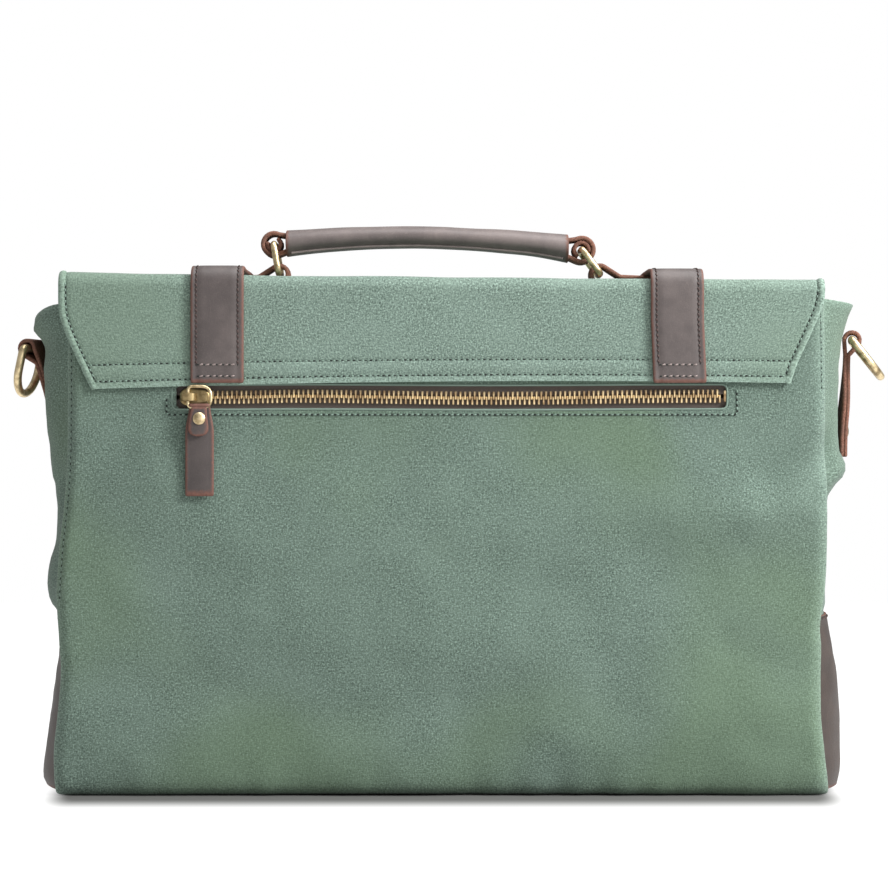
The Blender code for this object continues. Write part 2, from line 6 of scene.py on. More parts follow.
import bmesh
import bpy
from mathutils import Matrix, Vector, noise


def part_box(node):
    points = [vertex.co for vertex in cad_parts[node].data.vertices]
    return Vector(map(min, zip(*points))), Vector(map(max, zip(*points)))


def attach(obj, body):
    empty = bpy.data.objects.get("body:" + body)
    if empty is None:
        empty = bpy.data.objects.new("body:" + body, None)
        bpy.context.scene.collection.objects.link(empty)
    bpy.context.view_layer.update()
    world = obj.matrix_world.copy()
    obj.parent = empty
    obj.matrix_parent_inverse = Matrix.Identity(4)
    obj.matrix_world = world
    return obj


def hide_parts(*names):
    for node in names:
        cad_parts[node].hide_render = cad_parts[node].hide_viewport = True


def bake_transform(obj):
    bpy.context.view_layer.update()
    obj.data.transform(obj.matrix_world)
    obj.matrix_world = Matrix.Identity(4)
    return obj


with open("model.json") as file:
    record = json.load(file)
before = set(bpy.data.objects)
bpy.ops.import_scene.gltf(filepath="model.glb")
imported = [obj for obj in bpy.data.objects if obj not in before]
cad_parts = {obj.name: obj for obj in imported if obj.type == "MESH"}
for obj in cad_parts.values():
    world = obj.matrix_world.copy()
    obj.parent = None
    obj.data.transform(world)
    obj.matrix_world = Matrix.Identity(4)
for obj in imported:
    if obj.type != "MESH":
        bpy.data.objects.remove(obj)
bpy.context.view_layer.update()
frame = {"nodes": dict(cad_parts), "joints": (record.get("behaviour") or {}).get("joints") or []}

MM = 0.001
LEFT, RIGHT = "left", "right"
SIGN = {LEFT: -1, RIGHT: 1}
REARWARD = Vector((0, -1, 0))
JOINTS = {joint["name"]: joint for joint in frame["joints"]}
SPAN = 0.2  # the grids across the bag run from -SPAN to SPAN, and are then fitted to its outline


# ------------------------------------------------------------------ camera, lights, floor

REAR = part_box("back_panel")[0].y
CAMERA_DISTANCE = 1.3
CAMERA_HEIGHT = 0.185
VIEW_WIDTH = 0.4662  # how much of the rear face the picture is wide
SENSOR = 36


def make_camera():
    data = bpy.data.cameras.new("camera")
    data.sensor_width = SENSOR
    data.lens = SENSOR * CAMERA_DISTANCE / VIEW_WIDTH
    data.clip_start = 0.05
    camera = bpy.data.objects.new("camera", data)
    camera.location = (0, REAR - CAMERA_DISTANCE, CAMERA_HEIGHT)
    camera.rotation_euler = (math.pi / 2, 0, 0)
    bpy.context.scene.collection.objects.link(camera)
    bpy.context.scene.camera = camera


def make_light(name, place, size, power, colour=(1, 1, 1)):
    data = bpy.data.lights.new(name, "AREA")
    data.shape = "DISK"
    data.size = size
    data.energy = power
    data.color = colour
    light = bpy.data.objects.new(name, data)
    light.location = place
    aim = Vector((0, 0, 0.14)) - Vector(place)
    light.rotation_euler = aim.to_track_quat("-Z", "Y").to_euler()
    bpy.context.scene.collection.objects.link(light)


AMBIENT = 0.36  # what the surroundings give to surfaces, where the camera sees white


def make_studio():
    scene = bpy.context.scene
    scene.view_settings.view_transform = "Standard"
    world = bpy.data.worlds.new("studio")
    scene.world = world
    world.use_nodes = True
    nodes = world.node_tree.nodes
    nodes["Background"].inputs["Color"].default_value = (1, 1, 1, 1)
    path = nodes.new("ShaderNodeLightPath")
    strength = nodes.new("ShaderNodeMapRange")
    strength.inputs["To Min"].default_value = AMBIENT
    world.node_tree.links.new(path.outputs["Is Camera Ray"], strength.inputs["Value"])
    world.node_tree.links.new(strength.outputs["Result"], nodes["Background"].inputs["Strength"])
    make_light("key", (1.08, -0.66, 0.9), 0.5, 31)
    make_light("fill", (0.8, -1.6, 0.12), 1.5, 7)
    make_light("top", (0.25, -0.15, 1.5), 1.1, 22)

    floor_mesh = bpy.data.meshes.new("floor")
    floor_bm = bmesh.new()
    bmesh.ops.create_circle(floor_bm, cap_ends=True, segments=96, radius=1.6)
    floor_bm.to_mesh(floor_mesh)
    floor_bm.free()
    floor = bpy.data.objects.new("floor", floor_mesh)
    scene.collection.objects.link(floor)
    # The floor is dark paper that glows everywhere except in a narrow strip round the bag's footprint: that
    # dark strip is a painted contact shadow, not one cast by the lamps.
    painted_shadow_paper = Nodes("painted_shadow_paper")
    tone = painted_shadow_paper.noise(painted_shadow_paper.place(), 0.4, 2.0)
    parts = painted_shadow_paper.node("SeparateXYZ")
    painted_shadow_paper.link(painted_shadow_paper.place(), parts.inputs[0])
    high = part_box("base_panel")[1]
    gaps = []
    for axis, edge, reach in ((0, high.x - 16 * MM, 2.5), (1, high.y, 1.0)):
        gap = painted_shadow_paper.math("SUBTRACT", painted_shadow_paper.math("ABSOLUTE", parts.outputs[axis]), edge)
        gap = painted_shadow_paper.math("MULTIPLY", painted_shadow_paper.math("MAXIMUM", gap, 0.0), reach)
        gaps.append(painted_shadow_paper.math("POWER", gap, 2.0))
    painted_shadow_gap = painted_shadow_paper.math("SQRT", painted_shadow_paper.math("ADD", *gaps))
    # The glow is off at the footprint and full about 54 mm out, tighter at the sides, so the painted shadow
    # hugs the bag.
    painted_shadow_paper.link(painted_shadow_paper.ramp(painted_shadow_gap, 13 * MM, 54 * MM), painted_shadow_paper.shader.inputs["Emission Strength"])
    painted_shadow_paper.constant(Specular_IOR_Level=0.0, Emission_Color=(1, 1, 1, 1))
    colour = painted_shadow_paper.mix(tone, (0.115, 0.115, 0.111), (0.125, 0.125, 0.121))
    floor_mesh.materials.append(painted_shadow_paper.finish(colour, 0.9))


# ------------------------------------------------------------------ materials


class Nodes:
    """A short way to write a material's nodes."""

    def __init__(self, name):
        self.material = bpy.data.materials.new(name)
        self.material.use_nodes = True
        self.tree = self.material.node_tree
        self.shader = self.tree.nodes["Principled BSDF"]

    def node(self, kind, **settings):
        made = self.tree.nodes.new("ShaderNode" + kind)
        for key, value in settings.items():
            setattr(made, key, value)
        return made

    def link(self, source, target):
        self.tree.links.new(source, target)

    def math(self, operation, a, b=None, clamp=False):
        made = self.node("Math", operation=operation, use_clamp=clamp)
        for socket, value in zip(made.inputs, (a, b)):
            if value is None:
                continue
            if isinstance(value, (int, float)):
                socket.default_value = value
            else:
                self.link(value, socket)
        return made.outputs[0]

    def mix(self, factor, a, b, blend="MIX"):
        made = self.node("Mix", data_type="RGBA", blend_type=blend)
        for index, value in ((0, factor), (6, a), (7, b)):
            socket = made.inputs[index]
            if isinstance(value, (int, float)):
                socket.default_value = value
            elif isinstance(value, tuple):
                socket.default_value = (*value, 1)
            else:
                self.link(value, socket)
        return made.outputs[2]

    def ramp(self, value, low, high):
        """0 where value is under low, 1 over high."""
        made = self.node("MapRange", clamp=True, interpolation_type="SMOOTHSTEP")
        self.link(value, made.inputs["Value"])
        made.inputs["From Min"].default_value = low
        made.inputs["From Max"].default_value = high
        return made.outputs["Result"]

    def noise(self, place, size, detail=2.0, roughness=0.55, stretch=(1, 1, 1), shift=(0, 0, 0)):
        """Noise whose blotches are about size metres across."""
        mapping = self.node("Mapping")
        self.link(place, mapping.inputs["Vector"])
        mapping.inputs["Scale"].default_value = tuple(s / size for s in stretch)
        mapping.inputs["Location"].default_value = shift
        texture = self.node("TexNoise")
        self.link(mapping.outputs[0], texture.inputs["Vector"])
        texture.inputs["Scale"].default_value = 1.0
        texture.inputs["Detail"].default_value = detail
        texture.inputs["Roughness"].default_value = roughness
        return texture.outputs["Fac"]

    def uv(self):
        return self.node("UVMap", uv_map="cloth").outputs[0]

    def place(self):
        return self.node("TexCoord").outputs["Object"]

    def attribute(self, name):
        return self.node("Attribute", attribute_name=name).outputs["Fac"]

    def bump(self, height, distance, strength=1.0, under=None):
        made = self.node("Bump")
        made.inputs["Strength"].default_value = strength
        made.inputs["Distance"].default_value = distance
        self.link(height, made.inputs["Height"])
        if under:
            self.link(under, made.inputs["Normal"])
        return made.outputs[0]

    def finish(self, colour, roughness, normal=None):
        for value, name in ((colour, "Base Color"), (roughness, "Roughness"), (normal, "Normal")):
            if value is None:
                continue
            if isinstance(value, (int, float)):
                self.shader.inputs[name].default_value = value
            else:
                self.link(value, self.shader.inputs[name])
        return self.material

    def constant(self, **values):
        for name, value in values.items():
            self.shader.inputs[name.replace("_", " ")].default_value = value


def weave(n, place, pitch):
    """(height of the threads, 1 on the warp and 0 on the weft) of a plain weave."""
    parts = n.node("SeparateXYZ")
    n.link(place, parts.inputs[0])
    waves = [n.math("SINE", n.math("MULTIPLY", parts.outputs[i], math.pi / pitch)) for i in (0, 1)]
    crossing = n.math("MULTIPLY", waves[0], waves[1])
    height = n.math("POWER", n.math("ABSOLUTE", crossing), 0.6)
    return height, n.ramp(crossing, -0.25, 0.25)


def canvas_material(name, light, dark, green, shift):
    """Washed, waxed canvas: slubby threads both ways, mottled, greener in places, and worn pale at its rims."""
    n = Nodes(name)
    place = n.uv()
    warp = n.noise(place, 0.55 * MM, 2.0, 0.6, (1.0, 0.24, 1.0))
    weft = n.noise(place, 0.55 * MM, 2.0, 0.6, (0.24, 1.0, 1.0))
    threads = n.math("MULTIPLY", n.math("ADD", warp, weft), 0.5)
    height, _ = weave(n, place, 0.62 * MM)
    colour = n.mix(n.ramp(threads, 0.39, 0.61), dark, light)
    speck = n.noise(place, 0.95 * MM, 2.0, 0.75)
    colour = n.mix(n.ramp(speck, 0.50, 0.72), colour, tuple(1.75 * c for c in light))
    colour = n.mix(n.ramp(speck, 0.48, 0.27), colour, tuple(0.46 * c for c in dark))
    mottle = n.noise(place, 34 * MM, 5.0, 0.62)
    blotch = n.math("MULTIPLY", n.ramp(mottle, 0.38, 0.68), 0.24)
    colour = n.mix(blotch, colour, tuple(1.2 * c for c in light))
    patch = n.noise(place, 170 * MM, 2.0, 0.5, shift=shift)
    fade = n.mix(n.ramp(threads, 0.36, 0.64), tuple(0.72 * c for c in green), green)
    colour = n.mix(n.math("MULTIPLY", n.ramp(patch, 0.45, 0.66), 0.55), colour, fade)
    worn = n.math("MULTIPLY", n.attribute("edge"), n.ramp(speck, 0.30, 0.60))
    colour = n.mix(n.math("MULTIPLY", worn, 0.5), colour, tuple(1.9 * c for c in light))
    fuzz = n.noise(place, 0.8 * MM, 3.0, 0.75)
    bumps = n.bump(height, 0.12 * MM, 0.5)
    bumps = n.bump(threads, 0.30 * MM, 0.7, bumps)
    bumps = n.bump(fuzz, 0.30 * MM, 0.6, bumps)
    n.constant(Specular_IOR_Level=0.2, Sheen_Weight=0.08, Sheen_Roughness=0.6)
    return n.finish(colour, 0.94, bumps)


def lining_material():
    n = Nodes("lining_cloth")
    place = n.uv()
    height, warp = weave(n, place, 0.55 * MM)
    colour = n.mix(warp, (0.20, 0.165, 0.12), (0.27, 0.225, 0.17))
    mottle = n.noise(place, 18 * MM, 3.0)
    colour = n.mix(n.math("MULTIPLY", mottle, 0.4), colour, (0.33, 0.28, 0.21))
    n.constant(Specular_IOR_Level=0.25)
    return n.finish(colour, 0.9, n.bump(height, 0.08 * MM, 0.6))


def leather_material(name="leather", lightness=1.0, warmth=1.0):
    """Waxed grey-brown leather: fine grain, cloudy pull-up tone, and warm raw edges."""
    n = Nodes(name)
    place = n.place()

    def shade(r, g, b):
        return (r * lightness * warmth, g * lightness, b * lightness / warmth)

    cloud = n.noise(place, 16 * MM, 4.0, 0.6)
    colour = n.mix(n.ramp(cloud, 0.32, 0.70), shade(0.066, 0.054, 0.052), shade(0.098, 0.080, 0.076))
    speck = n.noise(place, 0.8 * MM, 3.0, 0.65)
    colour = n.mix(n.math("MULTIPLY", n.ramp(speck, 0.50, 0.78), 0.35), colour, shade(0.160, 0.128, 0.118))
    scuff = n.noise(place, 5 * MM, 5.0, 0.7, (1.0, 1.0, 0.2))
    colour = n.mix(n.math("MULTIPLY", n.ramp(scuff, 0.58, 0.72), 0.16), colour, shade(0.155, 0.122, 0.112))
    edge = n.attribute("edge")
    ragged = n.noise(place, 1.6 * MM, 3.0, 0.7)
    rim = n.math("ADD", edge, n.math("MULTIPLY", n.math("SUBTRACT", ragged, 0.5), 0.9))
    rim = n.math("MULTIPLY", n.ramp(rim, 0.30, 1.0), 0.9)
    fibre = n.mix(n.noise(place, 1.1 * MM, 4.0, 0.7), (0.060, 0.024, 0.017), (0.205, 0.088, 0.062))
    colour = n.mix(rim, colour, fibre)
    grain = n.node("TexVoronoi", feature="DISTANCE_TO_EDGE")
    n.link(place, grain.inputs["Vector"])
    grain.inputs["Scale"].default_value = 1 / (1.1 * MM)
    bumps = n.bump(n.ramp(grain.outputs["Distance"], 0.0, 0.12), 0.05 * MM, 0.35)
    bumps = n.bump(n.noise(place, 0.5 * MM, 3.0, 0.6), 0.06 * MM, 0.4, bumps)
    bumps = n.bump(n.noise(place, 7 * MM, 3.0, 0.5), 0.35 * MM, 0.4, bumps)
    roughness = n.math("ADD", n.math("MULTIPLY", cloud, 0.18), n.math("MULTIPLY", rim, 0.2))
    n.constant(Specular_IOR_Level=0.42)
    return n.finish(colour, n.math("ADD", roughness, 0.44), bumps)


def raw_leather_material():
    """Leather seen from its rough side: warm brown, fibrous and dull."""
    n = Nodes("raw_leather")
    place = n.place()
    fibre = n.noise(place, 1.0 * MM, 5.0, 0.75)
    cloud = n.noise(place, 7 * MM, 3.0, 0.6)
    colour = n.mix(n.ramp(fibre, 0.32, 0.68), (0.105, 0.046, 0.032), (0.265, 0.130, 0.092))
    colour = n.mix(n.math("MULTIPLY", n.ramp(cloud, 0.40, 0.70), 0.45), colour, (0.120, 0.075, 0.060))
    n.constant(Specular_IOR_Level=0.2)
    return n.finish(colour, 0.85, n.bump(fibre, 0.25 * MM, 0.8))


def brass_material(name, bright, dark, roughness):
    """Antique brass: worn bright, with brown tarnish in cloudy spots."""
    n = Nodes(name)
    place = n.place()
    tarnish = n.noise(place, 5 * MM, 3.0, 0.6)
    colour = n.mix(n.ramp(tarnish, 0.36, 0.72), bright, dark)
    scratch = n.noise(place, 0.5 * MM, 2.0, 0.6, (1.0, 1.0, 0.15))
    rough = n.math("ADD", n.math("MULTIPLY", tarnish, 0.30), roughness - 0.12)
    rough = n.math("ADD", rough, n.math("MULTIPLY", scratch, 0.08))
    n.constant(Metallic=1.0)
    return n.finish(colour, rough, n.bump(scratch, 0.02 * MM, 0.3))


def thread_material(name, light, dark):
    """Waxed thread, twisted along its length."""
    n = Nodes(name)
    place = n.place()
    twist = n.noise(place, 0.5 * MM, 2.0, 0.6)
    colour = n.mix(n.ramp(twist, 0.35, 0.65), dark, light)
    n.constant(Specular_IOR_Level=0.35)
    return n.finish(colour, 0.65, n.bump(twist, 0.08 * MM, 0.6))


def tape_material():
    """Zip tape: a fine dark twill."""
    n = Nodes("zip_tape")
    place = n.uv()
    parts = n.node("SeparateXYZ")
    n.link(place, parts.inputs[0])
    slant = n.math("ADD", parts.outputs[0], parts.outputs[1])
    rib = n.math("SINE", n.math("MULTIPLY", slant, 2 * math.pi / (0.9 * MM)))
    height, _ = weave(n, place, 0.45 * MM)
    colour = n.mix(n.ramp(rib, -0.6, 0.8), (0.056, 0.045, 0.039), (0.122, 0.101, 0.090))
    colour = n.mix(n.math("MULTIPLY", n.noise(place, 3 * MM, 3.0), 0.3), colour, (0.12, 0.09, 0.075))
    return n.finish(colour, 0.88, n.bump(n.math("ADD", rib, height), 0.08 * MM, 0.7))


def plain_material(name, colour, roughness):
    n = Nodes(name)
    tone = n.noise(n.place(), 4 * MM, 3.0)
    dim = tuple(0.7 * c for c in colour)
    return n.finish(n.mix(tone, dim, colour), roughness, n.bump(tone, 0.1 * MM, 0.3))


CANVAS = canvas_material(
    "canvas", (0.172, 0.234, 0.197), (0.094, 0.136, 0.111), (0.158, 0.226, 0.166), (0.3, 0.2, 0)
)
# The body's canvas is a darker copy of the flap's: the step from the flap down to the rear panel, sides and
# front is painted shade, not a different cloth.
SHADED_BODY_CANVAS = canvas_material(
    "body_canvas_painted_shade", (0.130, 0.181, 0.149), (0.068, 0.101, 0.081), (0.122, 0.186, 0.108), (0.55, -0.35, 0)
)
LINING = lining_material()
LEATHER = leather_material()
GRIP_LEATHER = leather_material("grip_leather", 1.5)
SIDE_LEATHER = leather_material("side_leather", 0.44, 1.14)
PULL_LEATHER = leather_material("pull_leather", 0.70)
# The grip's seam bead: pale leather, made lighter still as painted light for the bounce light under the grip.
PALE_SEAM_AND_BOUNCE_LEATHER = leather_material("seam_leather_and_painted_bounce", 2.6)
RAW_LEATHER = raw_leather_material()
BRASS = brass_material("antique_brass", (0.86, 0.70, 0.43), (0.29, 0.215, 0.115), 0.33)
SLIDER_BRASS = brass_material("slider_brass", (0.46, 0.35, 0.18), (0.15, 0.10, 0.045), 0.34)
ZIP_BRASS = brass_material("zip_brass", (0.92, 0.72, 0.42), (0.42, 0.28, 0.15), 0.34)
CANVAS_THREAD = thread_material("canvas_thread", (0.21, 0.295, 0.245), (0.10, 0.15, 0.12))
LEATHER_THREAD = thread_material("leather_thread", (0.085, 0.050, 0.044), (0.032, 0.018, 0.016))
PALE_THREAD = thread_material("pale_thread", (0.30, 0.25, 0.235), (0.15, 0.115, 0.105))
# Near-black needle holes: painted shade in the holes, not a colour of the cloth.
HOLE_SHADE = plain_material("needle_hole_shade", (0.016, 0.021, 0.018), 0.95)
TAPE = tape_material()
BOARD = plain_material("stiffener", (0.06, 0.055, 0.05), 0.8)


# ------------------------------------------------------------------ building tools


def link(name, data, *materials):
    obj = bpy.data.objects.new(name, data)
    for material in materials:
        data.materials.append(material)
    bpy.context.scene.collection.objects.link(obj)
    return obj


def smoothstep(t):
    t = min(max(t, 0.0), 1.0)
    return t * t * (3 - 2 * t)


def along(points, value):
    """A smooth curve through (value, result) pairs."""
    value = min(max(value, points[0][0]), points[-1][0])
    k = max(i for i in range(len(points) - 1) if points[i][0] <= value)

    def slope(i):
        (v0, r0), (v1, r1) = points[max(i - 1, 0)], points[min(i + 1, len(points) - 1)]
        return (r1 - r0) / (v1 - v0)

    (v0, r0), (v1, r1) = points[k], points[k + 1]
    h = v1 - v0
    t = (value - v0) / h
    a, b = t * t * (3 - 2 * t), t * t * (t - 1)
    return r0 * (1 - a) + r1 * a + h * (b - t * t + t) * slope(k) + h * b * slope(k + 1)


def ripple(u, v, size, seed=0.0):
    """Smooth noise from -1 to 1 whose waves are about size metres long."""
    return noise.noise(Vector((u / size, v / size, seed)))


def stations(start, end, step, seams=(), reach=1.6 * MM):
    """Places from start to end, about a step apart, and closer at the seams."""
    count = max(int(round((end - start) / step)), 1)
    places = [start + (end - start) * i / count for i in range(count + 1)]
    for seam in seams:
        near = [seam + reach * k / 2 for k in (-2, -1, 0, 1, 2)]
        places = [p for p in places if abs(p - seam) > reach * 1.3 or p in (start, end)] + near
    return sorted(p for p in places if start <= p <= end)


def apply_modifiers(obj):
    bpy.context.view_layer.update()
    graph = bpy.context.evaluated_depsgraph_get()
    mesh = bpy.data.meshes.new_from_object(
        obj.evaluated_get(graph), preserve_all_data_layers=True, depsgraph=graph
    )
    obj.modifiers.clear()
    obj.data = mesh


def set_edge(mesh, values):
    mesh.attributes.new("edge", "FLOAT", "POINT").data.foreach_set("value", values)


def cloth(
    name, us, vs, place, thickness, materials,
    skip=None, rim=0.5 * MM, worn=1.6 * MM,
):
    """A sewn sheet: a grid over us and vs, bent by place(u, v), with thickness and soft rims.
"""
    mesh = bpy.data.meshes.new(name)
    columns = len(us)
    verts = [place(u, v) for v in vs for u in us]
    faces = []
    for j in range(len(vs) - 1):
        for i in range(columns - 1):
            if skip and skip((us[i] + us[i + 1]) / 2, (vs[j] + vs[j + 1]) / 2):
                continue
            a = j * columns + i
            faces.append((a, a + 1, a + columns + 1, a + columns))
    mesh.from_pydata(verts, [], faces)
    layer = mesh.uv_layers.new(name="cloth")
    flat = [(u, v) for v in vs for u in us]
    for loop in mesh.loops:
        layer.data[loop.index].uv = flat[loop.vertex_index]
    width = max(lengths_of(verts[j * columns : (j + 1) * columns])[-1] for j in range(len(vs)))
    length = max(lengths_of(verts[i::columns])[-1] for i in range(columns))
    gap = [min(u - us[0], us[-1] - u, v - vs[0], vs[-1] - v) for u, v in flat]
    set_edge(mesh, [math.exp(-d / worn) for d in gap])
    obj = link(name, mesh, *materials)
    welded = bmesh.new()
    welded.from_mesh(mesh)
    bmesh.ops.delete(welded, geom=[v for v in welded.verts if not v.link_faces], context="VERTS")
    welded.to_mesh(mesh)
    welded.free()
    solid = obj.modifiers.new("thickness", "SOLIDIFY")
    solid.thickness = thickness
    solid.offset = 0.0
    solid.use_even_offset = True
    if len(materials) > 1:
        solid.material_offset = 1
    bevel = obj.modifiers.new("soft rims", "BEVEL")
    bevel.width = rim
    bevel.segments = 3
    bevel.limit_method = "ANGLE"
    bevel.angle_limit = math.radians(55)
    apply_modifiers(obj)
    obj.data.shade_smooth()
    return obj


def loft(name, rings, material, edge=None, lengths=None, closed=False):
    """A closed skin through rings of points, capped unless it closes on itself.
    edge gives the raw-edge value of each point of a ring, or one list for each ring."""
    mesh = bpy.data.meshes.new(name)
    count = len(rings[0])
    verts = [p for ring in rings for p in ring]
    faces = []
    turns = len(rings) if closed else len(rings) - 1
    for j in range(turns):
        a, b = j * count, (j + 1) % len(rings) * count
        for i in range(count):
            k = (i + 1) % count
            faces.append((a + i, a + k, b + k, b + i))
    if not closed:
        faces.append(tuple(range(count))[::-1])
        faces.append(tuple(range(len(verts) - count, len(verts))))
    mesh.from_pydata(verts, [], faces)
    values = edge or [0.0] * count
    if not isinstance(values[0], (list, tuple)):
        values = [values] * len(rings)
    set_edge(mesh, [v for ring in values for v in ring])
    layer = mesh.uv_layers.new(name="cloth")
    runs = lengths or [0.0] * len(rings)
    for loop in mesh.loops:
        j, i = divmod(loop.vertex_index, count)
        girth = (rings[j][i] - rings[j][0]).length
        layer.data[loop.index].uv = (girth, runs[j])
    solid = bmesh.new()
    solid.from_mesh(mesh)
    bmesh.ops.recalc_face_normals(solid, faces=solid.faces)
    solid.to_mesh(mesh)
    solid.free()
    obj = link(name, mesh, material)
    obj.data.shade_smooth()
    obj.data.set_sharp_from_angle(angle=math.radians(50))
    return obj


def lengths_of(points):
    total, run = 0.0, [0.0]
    for a, b in zip(points, points[1:]):
        total += (b - a).length
        run.append(total)
    return run


def resample(points, step):
    """Points about a step apart along a polyline, and their distances along it."""
    run = lengths_of(points)
    count = max(int(round(run[-1] / step)), 1)
    made, places, k = [], [], 0
    for i in range(count + 1):
        s = run[-1] * i / count
        while k < len(run) - 2 and run[k + 1] < s:
            k += 1
        t = (s - run[k]) / max(run[k + 1] - run[k], 1e-12)
        made.append(points[k].lerp(points[k + 1], min(max(t, 0.0), 1.0)))
        places.append(s)
    return made, places


def points_at(points, s):
    """The point at a distance along a polyline."""
    run = lengths_of(points)
    k = max(i for i in range(len(points) - 1) if run[i] <= s or i == 0)
    return points[k].lerp(points[k + 1], min((s - run[k]) / max(run[k + 1] - run[k], 1e-12), 1.0))


def arc_points(centre, radius, start, end, steps, flat_axis=0, at=0.0):
    """An arc in the plane across one axis: X for Y and Z, Y for X and Z."""
    made = []
    for i in range(steps + 1):
        a = math.radians(start + (end - start) * i / steps)
        p, q = centre[0] + radius * math.cos(a), centre[1] + radius * math.sin(a)
        made.append(Vector((at, p, q)) if flat_axis == 0 else Vector((p, at, q)))
    return made


STRAP_CORNER = 0.55 * MM
STRAP_SEAM = 3.0 * MM  # from a strap's edge to its stitches


def strap_section(half_width, half_thick, sewn):
    """[(across, out, edge)] round a strap: flat faces, soft raw edges, and stitches pressed in by sewn."""
    c = STRAP_CORNER
    row = half_width - STRAP_SEAM
    half = [
        (0.0, half_thick + 0.12 * MM, 0.0),
        (0.5 * half_width, half_thick + 0.10 * MM, 0.0),
        (max(row - 1.1 * MM, 0.6 * half_width), half_thick + 0.05 * MM, 0.0),
        (max(row, 0.66 * half_width), half_thick - sewn, 0.0),
        (max(half_width - 1.9 * MM, 0.74 * half_width), half_thick, 0.25),
        (max(half_width - 1.1 * MM, 0.82 * half_width), half_thick - 0.02 * MM, 0.62),
        (half_width - c, half_thick - 0.10 * MM, 0.85),
        (half_width - 0.16 * MM, half_thick - 0.42 * MM, 1.0),
        (half_width, 0.25 * half_thick, 1.0),
        (half_width, -0.35 * half_thick, 1.0),
        (half_width - 0.3 * MM, -half_thick + 0.2 * MM, 1.0),
        (half_width - 0.9 * MM, -half_thick, 0.8),
    ]
    right = half + [(0.5 * half_width, -half_thick, 0.3)]
    left = [(-a, o, e) for a, o, e in reversed(right[1:])]
    return right + [(0.0, -half_thick, 0.3)] + left


def strap(
    name, path, width, thickness, material=None, side=Vector((1, 0, 0)),
    ends=2.4 * MM, tip=None, sewn=0.0,
):
    """A leather strap along a path through its middle. side is across it, for the whole strap or at a point.
    tip(s) scales its width at a distance from the start, and sewn is how deep its stitches press it in."""
    _, places = resample(path, 1.5 * MM)
    total = places[-1]
    extra = [0.0, 0.35 * MM, 0.9 * MM]
    inside = [p for p in places if 1.2 * MM < p < total - 1.2 * MM]
    spots = sorted({*extra, *(total - e for e in extra), *inside})
    dense, _ = resample(path, 0.15 * MM)
    rings, edges = [], []
    for s in spots:
        k = min(int(round(s / total * (len(dense) - 1))), len(dense) - 1)
        ahead, behind = dense[min(k + 4, len(dense) - 1)], dense[max(k - 4, 0)]
        across = side(dense[k]) if callable(side) else side
        out = across.cross(ahead - behind).normalized()
        near = min(s, total - s)
        shrink = 0.0 if near > 0.8 * MM else (1 - near / (0.8 * MM)) * 0.55 * MM
        half_w = width / 2 * (tip(s) if tip else 1.0) - shrink
        half_t = thickness / 2 - shrink * 0.8
        bare = max(0.0, 1 - near / ends) if ends else 0.0
        section = strap_section(half_w, half_t, sewn)
        rings.append([dense[k] + across * a + out * o for a, o, e in section])
        edges.append([max(e, 1.3 * bare) if e < 1 else 1.0 for a, o, e in section])
    return loft(name, rings, material or LEATHER, edges, spots)


def tube(name, points, radius, material, closed=False, sides=14):
    """A round wire through points, as a mesh. radius may be one number or one for each point."""
    rings = []
    count = len(points)
    normal = None
    for i, here in enumerate(points):
        before = points[i - 1] if closed or i else here
        after = points[(i + 1) % count] if closed or i < count - 1 else here
        tangent = (after - before).normalized()
        if normal is None:
            seed = Vector((0, 1, 0)) if abs(tangent.y) < 0.8 else Vector((1, 0, 0))
            normal = tangent.cross(seed).normalized()
        normal = (normal - tangent * normal.dot(tangent)).normalized()
        across = tangent.cross(normal)
        r = radius[i] if isinstance(radius, (list, tuple)) else radius
        turn = [2 * math.pi * k / sides for k in range(sides)]
        rings.append([here + (normal * math.cos(a) + across * math.sin(a)) * r for a in turn])
    return loft(name, rings, material, closed=closed)


def round_path(corners, radius, steps=5, closed=True):
    """A polyline with its corners rounded by one radius, or by one for each corner."""
    made = []
    count = len(corners)
    for i, corner in enumerate(corners):
        if not closed and i in (0, count - 1):
            made.append(corner)
            continue
        r = radius[i] if isinstance(radius, (list, tuple)) else radius
        back = (corners[i - 1] - corner).normalized() * r
        on = (corners[(i + 1) % count] - corner).normalized() * r
        for k in range(steps + 1):
            t = k / steps
            made.append(corner + back * (1 - t) ** 2 + on * t * t)
    return made


def dome(name, centre, out, radius, height, material, steps=24):
    """A rivet's head: a low crown with a rolled rim."""
    profile = [
        (0.0, 1.0), (0.35, 0.95), (0.62, 0.80), (0.80, 0.58),
        (0.90, 0.42), (0.97, 0.34), (1.0, 0.18), (0.98, 0.0),
    ]  # how far from the axis, and how high
    axis = Vector(out).normalized()
    first = axis.orthogonal().normalized()
    second = axis.cross(first)
    rings = []
    for r, h in profile:
        r = max(r, 0.02) * radius
        turn = [2 * math.pi * k / steps for k in range(steps)]
        level = centre + axis * h * height
        rings.append([level + (first * math.cos(a) + second * math.sin(a)) * r for a in turn])
    return loft(name, rings, material)


STITCH = {"pitch": 3.4 * MM, "length": 2.4 * MM, "width": 0.95 * MM}


